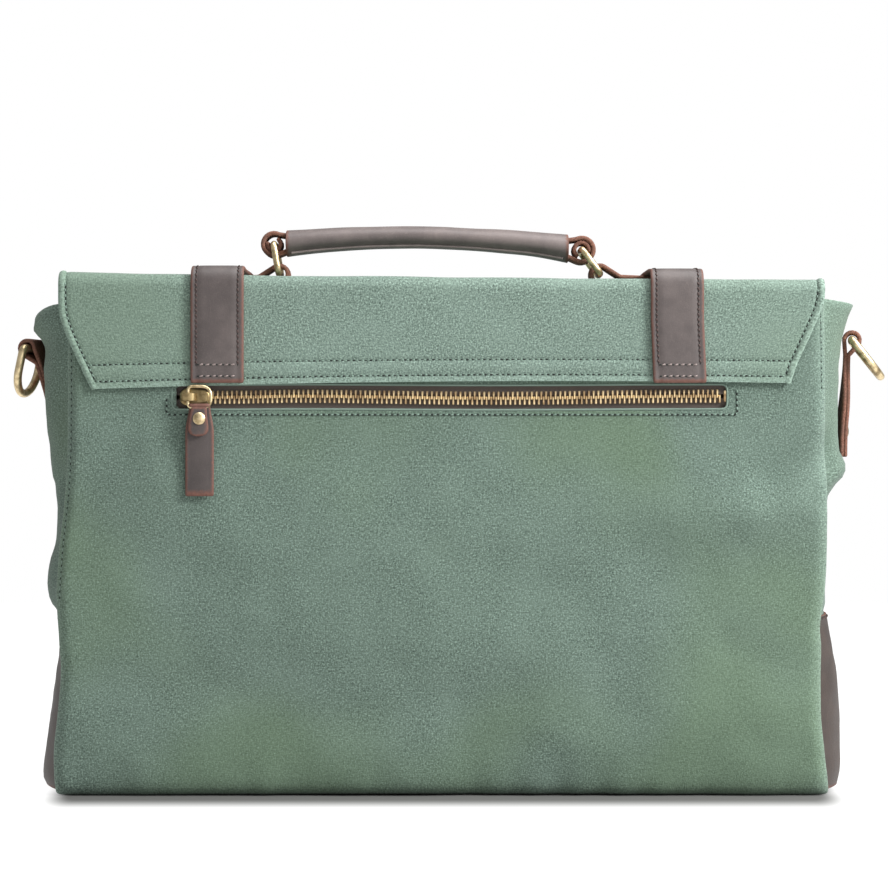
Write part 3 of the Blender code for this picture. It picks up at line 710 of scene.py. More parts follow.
def stitches(
    name, lines, thread, pitch=STITCH["pitch"], length=STITCH["length"], width=STITCH["width"],
    hole=0.55 * MM, slant=0.2,
):
    """Separate stitches along lines of (point, outward normal), with a needle hole at each end: a small
    near-black lens that paints the shade in the hole.
    """
    verts, faces, kinds = [], [], []
    profile = (
        (0.0, 0.25, -0.35), (0.16, 0.80, 0.15), (0.5, 1.0, 0.42), (0.84, 0.80, 0.15), (1.0, 0.25, -0.35),
    )  # along the stitch, how wide, and how far out
    for line in lines:
        points = [p for p, _ in line]
        run = lengths_of(points)

        def at(s):
            k = 0
            while k < len(run) - 2 and run[k + 1] < s:
                k += 1
            t = min(max((s - run[k]) / max(run[k + 1] - run[k], 1e-12), 0), 1)
            return points[k].lerp(points[k + 1], t), line[k][1].lerp(line[k + 1][1], t).normalized()

        count = int(run[-1] / pitch)
        slack = (run[-1] - count * pitch) / 2
        for index in range(count):
            s = slack + index * pitch + (pitch - length) / 2
            here, out = at(s)
            there, _ = at(s + length)
            way = (there - here).normalized()
            across = out.cross(way).normalized()
            tilt = across * (slant * width)
            base = len(verts)
            for t, wide, lift in profile:
                middle = here.lerp(there, t) + out * lift * width + tilt * (2 * t - 1)
                for k in range(6):
                    a = math.pi * k / 3
                    verts.append(middle + (across * math.cos(a) + out * math.sin(a) * 0.8) * wide * width / 2)
            for j in range(4):
                for k in range(6):
                    a, b = base + 6 * j + k, base + 6 * j + (k + 1) % 6
                    faces.append((a, b, b + 6, a + 6))
                    kinds.append(0)
            faces.append(tuple(base + k for k in range(6))[::-1])
            faces.append(tuple(base + 24 + k for k in range(6)))
            kinds += [0, 0]
            if not hole:
                continue
            # The needle hole: a near-black lens that stands in for the shade inside the hole.
            gap_at, out = at(s - (pitch - length) / 2)
            base = len(verts)
            for r, lift in ((1.0, -0.3), (0.8, 0.42)):
                for k in range(6):
                    a = math.pi * k / 3
                    round_hole = (way * 1.3 * math.cos(a) + across * 0.8 * math.sin(a)) * r * hole
                    verts.append(gap_at + round_hole + out * lift * hole)
            for k in range(6):
                a, b = base + k, base + (k + 1) % 6
                faces.append((a, b, b + 6, a + 6))
                kinds.append(1)
            faces.append(tuple(base + k for k in range(6))[::-1])
            faces.append(tuple(base + 6 + k for k in range(6)))
            kinds += [1, 1]
    mesh = bpy.data.meshes.new(name)
    mesh.from_pydata(verts, [], faces)
    obj = link(name, mesh, thread, HOLE_SHADE)
    mesh.polygons.foreach_set("material_index", kinds)
    mesh.shade_smooth()
    return obj


def seam_line(place, path, lift, step=2.0 * MM):
    """[(point, normal)] along a path of (u, v) over a surface, lifted off it. Its outward side is on the
    left of u cross v."""
    line = []
    for (u0, v0), (u1, v1) in zip(path, path[1:]):
        span = math.hypot(u1 - u0, v1 - v0)
        count = max(int(span / step), 1)
        for i in range(count + (1 if (u1, v1) == path[-1] else 0)):
            u, v = u0 + (u1 - u0) * i / count, v0 + (v1 - v0) * i / count
            e = 0.4 * MM
            du, dv = place(u + e, v) - place(u - e, v), place(u, v + e) - place(u, v - e)
            out = du.cross(dv).normalized()
            line.append((place(u, v) + out * lift, out))
    return line


# ------------------------------------------------------------------ body of the bag

# how far the rear panel's edges stand from the middle of the bag, over height, in mm
BODY_LEFT = (
    (0, -204.5), (22, -205.4), (45, -202.9), (66, -201.6), (82, -202.4), (108, -203.8), (145, -201.2),
    (173, -198.4), (229, -197.7), (262, -197.7),
)
BODY_RIGHT = (
    (0, 202.8), (22, 200.2), (40, 198.3), (60, 198.2), (78, 198.4), (89, 197.8), (107, 200.2), (126, 201.4),
    (155, 201.4), (190, 200.8), (262, 199.8),
)
BODY_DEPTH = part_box("front_panel")[1].y
BODY_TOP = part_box("back_panel")[1].z
CLOTH = 1.6 * MM
TURN = 7 * MM  # radius of the turn from a panel into a gusset
WINDOW_LOW, WINDOW_HIGH = Vector((-142.5, 0, 203.4)) * MM, Vector((148.5, 0, 215.8)) * MM
SIDE_LEFT = (
    (0, 214.4), (6, 217.2), (23, 215.6), (50, 211.6), (77, 207.3), (92, 207.6), (103, 214.0), (112, 214.8),
    (122, 213.2), (132, 210.0), (148, 209.3), (160, 210.2), (178, 212.9), (195, 215.3), (225, 217.2),
    (236, 216.2), (246, 218.6), (252, 222.2), (258, 221.6),
)
SIDE_RIGHT = (
    (0, 212.4), (8, 214.2), (45, 214.6), (75, 211.0), (92, 207.4), (104, 205.6), (125, 205.6), (148, 206.2),
    (156, 206.8), (162, 210.8), (169, 216.6), (174, 217.2), (182, 213.6), (210, 213.0), (236, 214.4),
    (248, 217.2), (261, 222.4),
)  # how far each side stands out from the middle of the bag, over height, in mm
SIDE_TUCKS = {
    LEFT: ((0.205, 0.014, 2.0), (0.160, 0.012, 3.0), (0.118, 0.010, 2.5)),
    RIGHT: ((0.174, 0.016, 8.0), (0.215, 0.012, 1.0)),
}  # where the cloth tucks in beside a seam: height, reach, and depth in mm
# how far the mouth drops at mid-depth, and how late
SIDE_TOP_DIP = {LEFT: (-7.5 * MM, 3), RIGHT: (-2.0 * MM, 1)}
DIMPLES = (
    ((0.170, 0.166), (0.206, 0.184), 0.010, -3.6),
    ((0.164, 0.146), (0.203, 0.164), 0.011, 2.6),
    ((0.196, 0.158), (0.206, 0.205), 0.006, -2.2),
    ((0.120, 0.150), (0.190, 0.146), 0.016, 1.6),
    ((-0.200, 0.150), (-0.168, 0.176), 0.011, -2.6),
    ((-0.196, 0.100), (-0.176, 0.116), 0.012, 1.8),
    ((-0.150, 0.060), (-0.060, 0.045), 0.020, -1.6),
    ((0.020, 0.120), (0.090, 0.070), 0.022, -1.4),
    ((0.150, 0.080), (0.196, 0.060), 0.012, -1.6),
)  # soft folds of the rear panel: from, to (x and z), width, and depth in mm


def body_edge(side, z):
    return along(BODY_LEFT if side == LEFT else BODY_RIGHT, z / MM) * MM


def foot_lift(x):
    """The bottom edge sags: it stands on its corners and lies a little higher between them."""
    t = min(max((x + 0.2) / 0.39, 0), 1)
    return (0.5 + 0.7 * math.sin(math.pi * t) + 0.4 * ripple(x, 0, 60 * MM, 12)) * MM


def fold(x, z, start, end, width, depth):
    (x0, z0), (x1, z1) = start, end
    run = Vector((x1 - x0, z1 - z0))
    t = min(max(Vector((x - x0, z - z0)).dot(run) / run.length_squared, 0), 1)
    gap = math.hypot(x - x0 - t * run.x, z - z0 - t * run.y)
    return depth * MM * math.exp(-((gap / width) ** 2))


def puff(x, z, seed):
    """How far a panel stands out: full below, flat at the zip and under the flap, with soft dents."""
    share = smoothstep((WINDOW_LOW.z - 4 * MM - z) / (40 * MM))
    full = 3.0 * MM * max(0.0, 1 - (x / 0.2) ** 2) * math.sin(math.pi * min(z / 0.2, 1.0))
    dents = 2.6 * ripple(x, z, 85 * MM, seed) + 1.5 * ripple(x, 1.3 * z, 42 * MM, seed + 5)
    fine = 0.5 * ripple(x, z, 17 * MM, seed + 9)
    near = min(x - body_edge(LEFT, z), body_edge(RIGHT, z) - x)
    pucker = 0.9 * math.exp(-near / (14 * MM)) * ripple(x * 0.25, z, 9 * MM, seed + 3)
    low = 1.1 * math.exp(-z / (13 * MM)) * ripple(x, z * 0.25, 11 * MM, seed + 4)
    drop = (WINDOW_LOW.z - z - 9 * MM) / (9 * MM)
    under_zip = 0.35 * math.exp(-(drop**2)) * ripple(x, 0, 8 * MM, seed + 6)
    folds = sum(fold(x, z, *each) for each in DIMPLES) if seed < 10 else 0.0
    return share * (full + (dents + fine) * MM) + folds + (pucker + low + under_zip) * MM


SEAM_IN = 2.4 * MM  # from a panel's edge to its stitching
PANEL_SEAM_FOOT = {LEFT: 104 * MM, RIGHT: 214 * MM}  # below these the rear seams are sewn from inside

FLAP_COVERS = 0.094  # above this height the front panel lies flat, behind the flap


def panel_surface(way, seed):
    """A panel's middle surface over x and z: way is -1 at the rear and 1 at the front."""

    def place(x, z):
        left, right = body_edge(LEFT, z), body_edge(RIGHT, z)
        wide = left + (x + SPAN) / (2 * SPAN) * (right - left)
        near = max(min(wide - left, right - wide), 0.0)
        t = max(0.0, 1 - near / TURN)
        back = TURN * (1 - math.sqrt(max(0.0, 1 - t * t)))
        foot = max(0.0, 1 - z / (7 * MM))
        back += 5.5 * MM * (1 - math.sqrt(max(0.0, 1 - foot * foot)))
        seam_foot = PANEL_SEAM_FOOT[LEFT if wide < 0 else RIGHT]
        sewn = smoothstep((z - seam_foot + 6 * MM) / (12 * MM)) if way < 0 else 1.0
        seam = 0.55 * MM * sewn * math.exp(-(((near - SEAM_IN) / (1.0 * MM)) ** 2))
        height = z + foot_lift(wide) * max(0.0, 1 - z / (60 * MM)) ** 2
        full = puff(wide, z, seed)
        if way > 0:
            below = smoothstep((FLAP_COVERS - z) / (30 * MM))
            full = full * (0.2 + 0.4 * below) - 1.1 * MM * (1 - below) - 0.2 * MM
        depth = BODY_DEPTH - CLOTH / 2 - back - seam + full
        return Vector((wide, way * depth, height))

    return place


def make_panels():
    zs = stations(0, BODY_TOP, 3.6 * MM, (3 * MM,))
    edge_us = [-SPAN + k * MM for k in (0, 0.4, 0.9, 1.4, 1.9, 2.4, 2.9, 3.6, 4.6, 5.8, 7.4)]
    middle = stations(-SPAN + 10 * MM, SPAN - 10 * MM, 3.6 * MM)
    xs = edge_us + middle + [-u for u in reversed(edge_us)]
    low, high = WINDOW_LOW, WINDOW_HIGH
    close = [k * 0.7 * MM for k in range(6)]
    near_x = [low.x + c for c in close] + [high.x - c for c in close]
    near_z = [low.z + c for c in close] + [high.z - c for c in close]
    rear_xs = sorted([x for x in xs if min(abs(x - n) for n in near_x) > 1.2 * MM] + near_x)
    rear_zs = sorted([z for z in zs if min(abs(z - n) for n in near_z) > 1.2 * MM] + near_z)
    rear = panel_surface(-1, 2.0)
    front = panel_surface(1, 31.0)

    def window(x, z):
        corner = 3.2 * MM
        dx = max(low.x + corner - x, x - high.x + corner, 0)
        dz = max(low.z + corner - z, z - high.z + corner, 0)
        return math.hypot(dx, dz) < corner

    back = cloth(
        "rear_panel", rear_xs, rear_zs, rear, CLOTH, [SHADED_BODY_CANVAS], skip=window
    )
    fore = cloth(
        "front_cloth", xs, zs, lambda x, z: front(-x, z), CLOTH, [SHADED_BODY_CANVAS]
    )
    for obj, node in ((back, "back_panel"), (fore, "front_panel")):
        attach(obj, "bag")
        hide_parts(node)

    lines = []
    for way in (-1, 1):
        x = way * (SPAN - SEAM_IN)
        for place, mirror in ((rear, 1), (front, -1)):
            wrap = (lambda p, m: lambda u, v: p(m * u, v))(place, mirror)
            foot = 6 * MM if mirror < 0 else PANEL_SEAM_FOOT[LEFT if way < 0 else RIGHT]
            lines.append(seam_line(wrap, [(mirror * x, foot), (mirror * x, BODY_TOP - 4 * MM)], CLOTH / 2))
    seams = stitches("panel_stitches", lines, CANVAS_THREAD, 3.4 * MM, 2.3 * MM, 0.6 * MM)
    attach(seams, "bag")

    rim = [(low.x - 0.3 * MM, low.z - 0.3 * MM), (high.x + 0.3 * MM, high.z + 0.3 * MM)]
    (x0, z0), (x1, z1) = rim
    corners = [Vector((x, 0, z)) for x, z in ((x0, z0), (x1, z0), (x1, z1), (x0, z1))]
    y = rear(0, ZIP_Z).y - CLOTH / 2 + 0.15 * MM
    outline = dense_loop(round_path(corners, 3.4 * MM), 1.2 * MM)
    loop = [Vector((p.x, y, p.z + 0.4 * zip_wave(p.x))) for p in outline]
    lip = tube("window_lip", loop, 0.6 * MM, CANVAS, closed=True, sides=10)
    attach(lip, "bag")
    below, above = z0 - 2.7 * MM, z1 - 0.5 * MM
    start, end = x0 - 4.8 * MM, x1 + 4.3 * MM
    route = [(start, below + 9 * MM), (start, below), (end, below), (end, above)]
    sewn = seam_line(rear, route, CLOTH / 2 + 0.1 * MM)
    border = stitches("window_stitches", [sewn], CANVAS_THREAD, 3.0 * MM, 2.0 * MM, hole=0.7 * MM)
    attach(border, "bag")


def dense_loop(points, step):
    made, _ = resample(points + [points[0]], step)
    return made[:-1]


def gusset_surface(side, leather=False):
    """A side's cloth, or the leather over it, over depth u (-1 to 1) and height z, with soft folds."""
    way = SIGN[side]
    seed = 50.0 + 10 * way
    outline = SIDE_LEFT if side == LEFT else SIDE_RIGHT
    leather_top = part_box("corner_leather_" + side)[1].z

    def place(u, z):
        outermost = along(outline, z / MM) * MM - CLOTH / 2
        if not leather:
            outermost -= 1.9 * MM * smoothstep((leather_top + 5 * MM - z) / (5 * MM))
        edge = abs(body_edge(side, z)) - 1.6 * MM
        arch = 1 - abs(u) ** (3.2 if z > 0.165 else 2.4)
        middle = math.exp(-((u / 0.30) ** 2))
        tab_dip = (4.5 if side == LEFT else 1.0) * MM * middle * smoothstep((z - 0.170) / 0.02)
        tab_dip *= smoothstep((0.252 - z) / 0.02)
        folds = 0.7 * MM * arch * ripple(u * 0.05, z, 26 * MM, seed) * smoothstep((0.175 - z) / 0.02)
        folds += 0.5 * MM * arch * ripple(u * 0.05, z * 1.4, 12 * MM, seed + 4)
        if not leather:
            for height, reach, deep in SIDE_TUCKS[side]:
                near_seam = math.exp(-(((abs(u) - 0.87) / 0.10) ** 2))
                folds -= deep * MM * near_seam * math.exp(-(((z - height) / reach) ** 2))
        x = way * (edge + arch * (outermost - edge) - tab_dip + folds)
        y = u * (BODY_DEPTH - TURN * 0.8 - CLOTH / 2)
        if u < -0.5:
            y -= puff(body_edge(side, z), z, 2.0) * smoothstep((-u - 0.5) / 0.5)
        deep, late = SIDE_TOP_DIP[side]
        dip = (deep * arch**late + (3 * MM if side == RIGHT else 0.5 * MM)) * smoothstep((z - 0.230) / 0.028)
        lift = 1.0 * MM * max(0.0, 1 - z / (60 * MM)) ** 2
        return Vector((x, y, z + dip + lift))

    return place


def make_side(side):
    way = SIGN[side]
    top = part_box("gusset_" + side)[1].z + 3 * MM
    us = stations(-1, 1, 0.055, (), 0.02)
    zs = stations(1.5 * MM, top, 3.4 * MM, (top - 5 * MM,))
    surface = gusset_surface(side)
    half = BODY_DEPTH
    side_place = lambda d, z: surface(way * d / half, z)
    panel = cloth(
        "gusset_cloth_" + side, [u * half for u in us], zs, side_place, CLOTH, [SHADED_BODY_CANVAS],
    )
    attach(panel, "bag")
    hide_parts("gusset_" + side)

    leather_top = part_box("corner_leather_" + side)[1].z
    outer = gusset_surface(side, leather=True)
    zs = stations(1.5 * MM, leather_top, 3.4 * MM, (leather_top - 2.5 * MM,))
    place = lambda d, z: outer(way * d / half, z)
    depths = [u * half for u in us]
    patch = cloth("corner_patch_" + side, depths, zs, place, 1.5 * MM, [SIDE_LEATHER], worn=0.6 * MM)
    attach(patch, "bag")
    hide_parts("corner_leather_" + side)
    top_row = leather_top - 2.5 * MM
    rows = [seam_line(place, [(-0.86 * half, top_row), (0.86 * half, top_row)], 0.75 * MM)]
    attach(stitches("corner_stitches_" + side, rows, LEATHER_THREAD), "bag")


def make_base_and_inside():
    low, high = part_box("base_panel")
    inset = 7 * MM

    def bottom(x, y):
        bow = 1 - (y / high.y) ** 2 * 0.25
        return Vector((x * bow, y, low.z + CLOTH * 0.55 + 0.25 * MM * (1 + ripple(x, y, 40 * MM, 90))))

    wide = high.x - inset
    xs, ys = stations(-wide, wide, 8 * MM), stations(low.y + inset, high.y - inset, 6 * MM)
    base = cloth("base_leather", xs, ys, bottom, CLOTH, [SIDE_LEATHER])
    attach(base, "bag")
    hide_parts("base_panel")
    board = frame["nodes"]["base_board"]
    board.data.materials.clear()
    board.data.materials.append(BOARD)

    low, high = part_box("lining")
    slack = 1.6 * MM

    def wall(axis, at, seed):
        def place(a, z):
            wave = slack * ripple(a, z, 60 * MM, seed) * smoothstep((z - low.z) / 0.05)
            return Vector((a, at + wave, z)) if axis == "y" else Vector((at + wave, a, z))

        return place

    zs = stations(low.z, high.z, 10 * MM)
    inner = 0.3 * MM
    sides = (
        ("lining_rear", "y", low.y + inner + slack, stations(low.x, high.x, 12 * MM), 3.0),
        ("lining_front", "y", high.y - inner - slack, stations(low.x, high.x, 12 * MM), 9.0),
        ("lining_left", "x", low.x + inner, stations(low.y, high.y, 10 * MM), 14.0),
        ("lining_right", "x", high.x - inner, stations(low.y, high.y, 10 * MM), 19.0),
    )
    for index, (name, axis, at, places, seed) in enumerate(sides):
        piece = cloth(
            name, places, zs, wall(axis, at, seed), 0.6 * MM, [LINING], rim=0.2 * MM,
        )
        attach(piece, "bag")
        if index == 0:
            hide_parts("lining")
    xs, ys = stations(low.x, high.x, 12 * MM), stations(low.y, high.y, 10 * MM)
    ground = low.z + inner

    def bed(x, y):
        return Vector((x, y, ground + 0.3 * MM * ripple(x, y, 50 * MM, 7)))

    floor = cloth("lining_floor", xs, ys, bed, 0.6 * MM, [LINING])
    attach(floor, "bag")
    pocket = frame["nodes"]["rear_pocket"]
    pocket.data.materials.clear()
    pocket.data.materials.append(plain_material("pocket_cloth", (0.24, 0.20, 0.15), 0.9))


# ------------------------------------------------------------------ zip

ZIP_Z = (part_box("zip_teeth_lower")[0].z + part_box("zip_teeth_upper")[1].z) / 2
TOOTH_PITCH = 2.5 * MM


def zip_wave(x):
    """The zip isn't sewn quite straight. It is true where the slider rests."""
    t = (x + 0.14) / 0.29
    return 0.55 * MM * math.sin(2.6 * math.pi * t) * smoothstep((x + 0.115) / 0.04)


def make_tooth(verts, faces, x, way):
    """One tooth: a foot clamped on the tape, a narrow neck, and a head that meets the other row."""
    y_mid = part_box("zip_teeth_upper")[0].y + 1.35 * MM
    z0 = ZIP_Z + zip_wave(x)
    profile = (
        (3.45, 0.46, 1.05), (3.1, 0.62, 1.3), (1.9, 0.60, 1.35), (1.2, 0.48, 1.3),
        (0.4, 0.60, 1.3), (-0.5, 0.60, 1.15), (-0.85, 0.42, 0.8),
    )  # how far up from the zip's middle, and half the width and depth there, in mm
    section = ((-1, -0.55), (-0.6, -1), (0.6, -1), (1, -0.55), (1, 0.55), (0.6, 1), (-0.6, 1), (-1, 0.55))
    base = len(verts)
    for up, half_x, half_y in profile:
        for sx, sy in section:
            verts.append(Vector((x + sx * half_x * MM, y_mid + sy * half_y * MM, z0 + way * up * MM)))
    for j in range(len(profile) - 1):
        for k in range(8):
            a, b = base + 8 * j + k, base + 8 * j + (k + 1) % 8
            faces.append((a, b, b + 8, a + 8) if way < 0 else (b, a, a + 8, b + 8))
    ends = [tuple(base + k for k in range(8)), tuple(base + 8 * (len(profile) - 1) + k for k in range(8))]
    faces.append(ends[0][::-1] if way < 0 else ends[0])
    faces.append(ends[1] if way < 0 else ends[1][::-1])


def make_zip():
    start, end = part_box("zip_teeth_upper")[0].x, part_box("zip_teeth_upper")[1].x
    count = int((end - start) / TOOTH_PITCH)
    for row, way in (("upper", 1), ("lower", -1)):
        verts, faces = [], []
        for i in range(count):
            make_tooth(verts, faces, start + TOOTH_PITCH * (i + (0.25 if way > 0 else 0.75)), way)
        mesh = bpy.data.meshes.new("teeth_" + row)
        mesh.from_pydata(verts, [], faces)
        teeth = link("teeth_" + row, mesh, ZIP_BRASS)
        mesh.shade_smooth()
        mesh.set_sharp_from_angle(angle=math.radians(40))
        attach(teeth, "bag")
        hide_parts("zip_teeth_" + row)

        low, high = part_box("zip_tape_" + row)
        y = (low.y + high.y) / 2
        inner = ZIP_Z + way * 1.1 * MM
        outer = high.z if way > 0 else low.z
        z0, z1 = min(inner, outer), max(inner, outer)

        def place(x, z):
            bead = 0.55 * MM * math.exp(-(((z - inner - way * 0.6 * MM) / (0.8 * MM)) ** 2))
            return Vector((x, y - bead + 0.12 * MM * ripple(x, z, 9 * MM, way), z + zip_wave(x)))

        xs, zs = stations(low.x, high.x, 3 * MM), stations(z0, z1, 0.9 * MM)
        tape = cloth("tape_" + row, xs, zs, place, 0.6 * MM, [TAPE], rim=0.15 * MM)
        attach(tape, "bag")
        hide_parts("zip_tape_" + row)

    stop = bpy.data.meshes.new("zip_stop")
    box = bmesh.new()
    bmesh.ops.create_cube(box, size=1)
    for vert in box.verts:
        vert.co = Vector((
            end + 0.2 * MM + 1.2 * MM * vert.co.x,
            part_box("zip_teeth_upper")[0].y + 1.3 * MM + 2.6 * MM * vert.co.y,
            ZIP_Z + zip_wave(end) + 6 * MM * vert.co.z,
        ))
    bmesh.ops.bevel(box, geom=box.edges, offset=0.4 * MM, segments=2, affect="EDGES")
    box.to_mesh(stop)
    box.free()
    end_stop = link("zip_end_stop", stop, ZIP_BRASS)
    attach(end_stop, "bag")


def soften(node, width, segments=2, angle=35):
    """Rounds the edges of a CAD node as it is shown."""
    obj = frame["nodes"][node]
    weld = obj.modifiers.new("weld", "WELD")
    weld.merge_threshold = 0.00001
    bevel = obj.modifiers.new("soft edges", "BEVEL")
    bevel.width = width
    bevel.segments = segments
    bevel.limit_method = "ANGLE"
    bevel.angle_limit = math.radians(angle)
    return obj


def recolour(node, material):
    obj = frame["nodes"][node]
    obj.data.materials.clear()
    obj.data.materials.append(material)
    return obj


def make_slider():
    """The slider's shell narrows towards its nose and carries a bridge for the ring."""
    low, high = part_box("zip_slider")
    mid_x, mid_z = (low.x + high.x) / 2, (low.z + high.z) / 2
    half_l, half_h = (high.x - low.x) / 2, (high.z - low.z) / 2
    back = high.y
    rings = []
    for out, grow in ((0.0, 0.90), (0.5, 1.0), (1.3, 1.0), (1.9, 0.93), (2.15, 0.80), (2.2, 0.4)):
        ring = []
        for k in range(32):
            a = 2 * math.pi * k / 32
            c, s = math.cos(a), math.sin(a)
            x = half_l * math.copysign(abs(c) ** 0.62, c)
            z = half_h * math.copysign(abs(s) ** 0.75, s)
            z *= 0.80 + 0.20 * smoothstep(0.5 - x / (2 * half_l))
            ring.append(Vector((mid_x + x * grow, back - out * MM, mid_z + z * grow)))
        rings.append(ring)
    shell = loft("slider_shell", rings, SLIDER_BRASS)
    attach(shell, "zip_slider")
    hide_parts("zip_slider")

    ring_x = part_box("pull_ring")[0].x + 0.9 * MM
    bow = ((-4.0, 1.6), (-3.9, 4.4), (-2.6, 6.3), (0, 6.75), (2.6, 6.3), (3.9, 4.4), (4.0, 1.6))
    span = [Vector((ring_x + dx * MM, back - dy * MM, mid_z)) for dx, dy in bow]
    path, _ = resample(round_path(span, 0.9 * MM, 3, closed=False), 0.5 * MM)
    side = Vector((0, 0, 1))
    section = (
        (2.2, 0.0), (1.9, 0.5), (0, 0.75), (-1.9, 0.5), (-2.2, 0.0), (-1.9, -0.45), (0, -0.5), (1.9, -0.45),
    )  # across and out, in mm
    rings = []
    for i, here in enumerate(path):
        ahead, behind = path[min(i + 1, len(path) - 1)], path[max(i - 1, 0)]
        out = side.cross(ahead - behind).normalized()
        rings.append([here + side * a * MM + out * b * MM for a, b in section])
    bridge = loft("slider_bridge", rings, SLIDER_BRASS)
    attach(bridge, "zip_slider")
    soften("zip_slider_back", 0.4 * MM)
    recolour("zip_slider_back", SLIDER_BRASS)


def make_pull():
    low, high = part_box("pull_ring")
    y = (low.y + high.y) / 2
    r = 0.9 * MM
    x0, x1, z0, z1 = low.x + r, high.x - r, low.z + r, high.z - r
    corners = [Vector((x, y, z)) for x, z in ((x0, z0), (x1, z0), (x1, z1), (x0, z1))]
    turns = [2.4 * MM, 4.6 * MM, 5.2 * MM, 2.4 * MM]
    loop = dense_loop(round_path(corners, turns, 8), 0.5 * MM)
    ring = tube("pull_wire", loop, r, BRASS, closed=True, sides=14)
    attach(ring, "pull_ring")
    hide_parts("pull_ring")

    low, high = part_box("pull_tab")
    mid_x = (low.x + high.x) / 2
    bar_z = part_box("pull_ring")[0].z + r
    leather = 1.5 * MM
    curl = 1.55 * MM
    under = [
        Vector((mid_x, y + curl, bar_z)), Vector((mid_x, y + 1.0 * MM, bar_z - 6 * MM)),
        Vector((mid_x, y + 0.6 * MM, 190 * MM)), Vector((mid_x, y + 0.3 * MM, low.z)),
    ]
    over = arc_points((y, bar_z), curl, 172, 0, 10, 0, mid_x)
    aside = mid_x - 0.5 * MM
    ring_face = over + under[1:]

    def widen(points, top, bottom, round_end=0.0):
        """Scales the strap from its neck to its end, which may be rounded."""
        total = lengths_of(points)[-1]

        def scale(s):
            z = points_at(points, s).z
            share = smoothstep((bar_z + 1 * MM - z) / (14 * MM))
            made = top + (bottom - top) * share
            if round_end and total - s < round_end:
                t = 1 - (total - s) / round_end
                made *= math.sqrt(max(0.04, 1 - 0.92 * t**2.4))
            return made

        return scale

    back_width = high.x - low.x + 1.4 * MM
    tab = strap(
        "pull_leather", ring_face, back_width, leather, PULL_LEATHER, Vector((-1, 0, 0)), 5 * MM,
        widen(ring_face, 0.74, 1.0),
    )
    lip = [
        over[0], Vector((aside, y - curl - 0.1 * MM, bar_z - 4 * MM)),
        Vector((aside, y - curl, 194 * MM)), Vector((aside, y - curl - 0.4 * MM, 189 * MM)),
    ]
    fold = strap(
        "pull_fold", lip, back_width * 0.75, leather, PULL_LEATHER, Vector((1, 0, 0)), 2.2 * MM,
        widen(lip, 0.74, 0.98, 4.5 * MM),
    )
    for piece in (tab, fold):
        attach(piece, "pull_tab")
    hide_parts("pull_tab")

    low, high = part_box("pull_rivet")
    middle = (low + high) / 2
    face = Vector((middle.x, y - curl - leather / 2 - 0.1 * MM, middle.z))
    rivet = dome("pull_rivet_head", face, (0, -1, 0), 3.3 * MM, 1.3 * MM, BRASS)
    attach(rivet, "pull_tab")
    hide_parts("pull_rivet")


# ------------------------------------------------------------------ flap

FLAP_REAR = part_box("flap_back")[0].y
FLAP_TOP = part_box("flap")[1].z
FLAP_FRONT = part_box("flap")[1].y
FLAP_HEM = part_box("flap")[0].z
FLAP_THICK = 2.0 * MM
REAR_BEND = 6 * MM
FRONT_BEND = 9.5 * MM
FLAP_LEFT = ((213, -181.7), (231, -191.2), (249, -200.0), (255, -201.4), (262, -201.6), (290, -201.5))
FLAP_RIGHT = (
    (214, 180.2), (217, 181.0), (227, 184.2), (243, 191.6), (257, 197.6), (263, 199.0), (290, 199.4),
)


def flap_profile():
    """The flap's middle line in Y and Z: up the rear, over the top and down the front."""
    rear, top = FLAP_REAR + FLAP_THICK / 2, FLAP_TOP - FLAP_THICK / 2
    front = FLAP_FRONT - FLAP_THICK / 2
    path = [Vector((0, rear, 0.2178))]
    path += arc_points((rear + REAR_BEND, top - REAR_BEND), REAR_BEND, 180, 90, 8)
    path += arc_points((front - FRONT_BEND, top - FRONT_BEND), FRONT_BEND, 90, 0, 10)
    return path + [Vector((0, front, FLAP_HEM))]


FLAP_LINE, FLAP_RUN = resample(flap_profile(), 1.0 * MM)
FLAP_LENGTH = FLAP_RUN[-1]
REAR_HEM_SEAMS = (3.3 * MM, 11.3 * MM)
REAR_LENGTH = 54 * MM  # from the rear hem to the top edge
RIM_SEAM = 3.1 * MM  # from the flap's side edges to their stitching
FRONT_HEM_SEAM = 4 * MM  # from the flap's front hem to its stitching
FLAP_HALF_WIDTH = 0.2005  # over the top and the front
FLAP_CORNER = 14 * MM  # radius of the two front corners


def flap_at(s):
    t = min(max(s / FLAP_LENGTH, 0.0), 1.0) * (len(FLAP_LINE) - 1)
    k = min(int(t), len(FLAP_LINE) - 2)
    here = FLAP_LINE[k].lerp(FLAP_LINE[k + 1], t - k)
    way = (FLAP_LINE[min(k + 2, len(FLAP_LINE) - 1)] - FLAP_LINE[max(k - 1, 0)]).normalized()
    return here, Vector((0, -way.z, way.y))


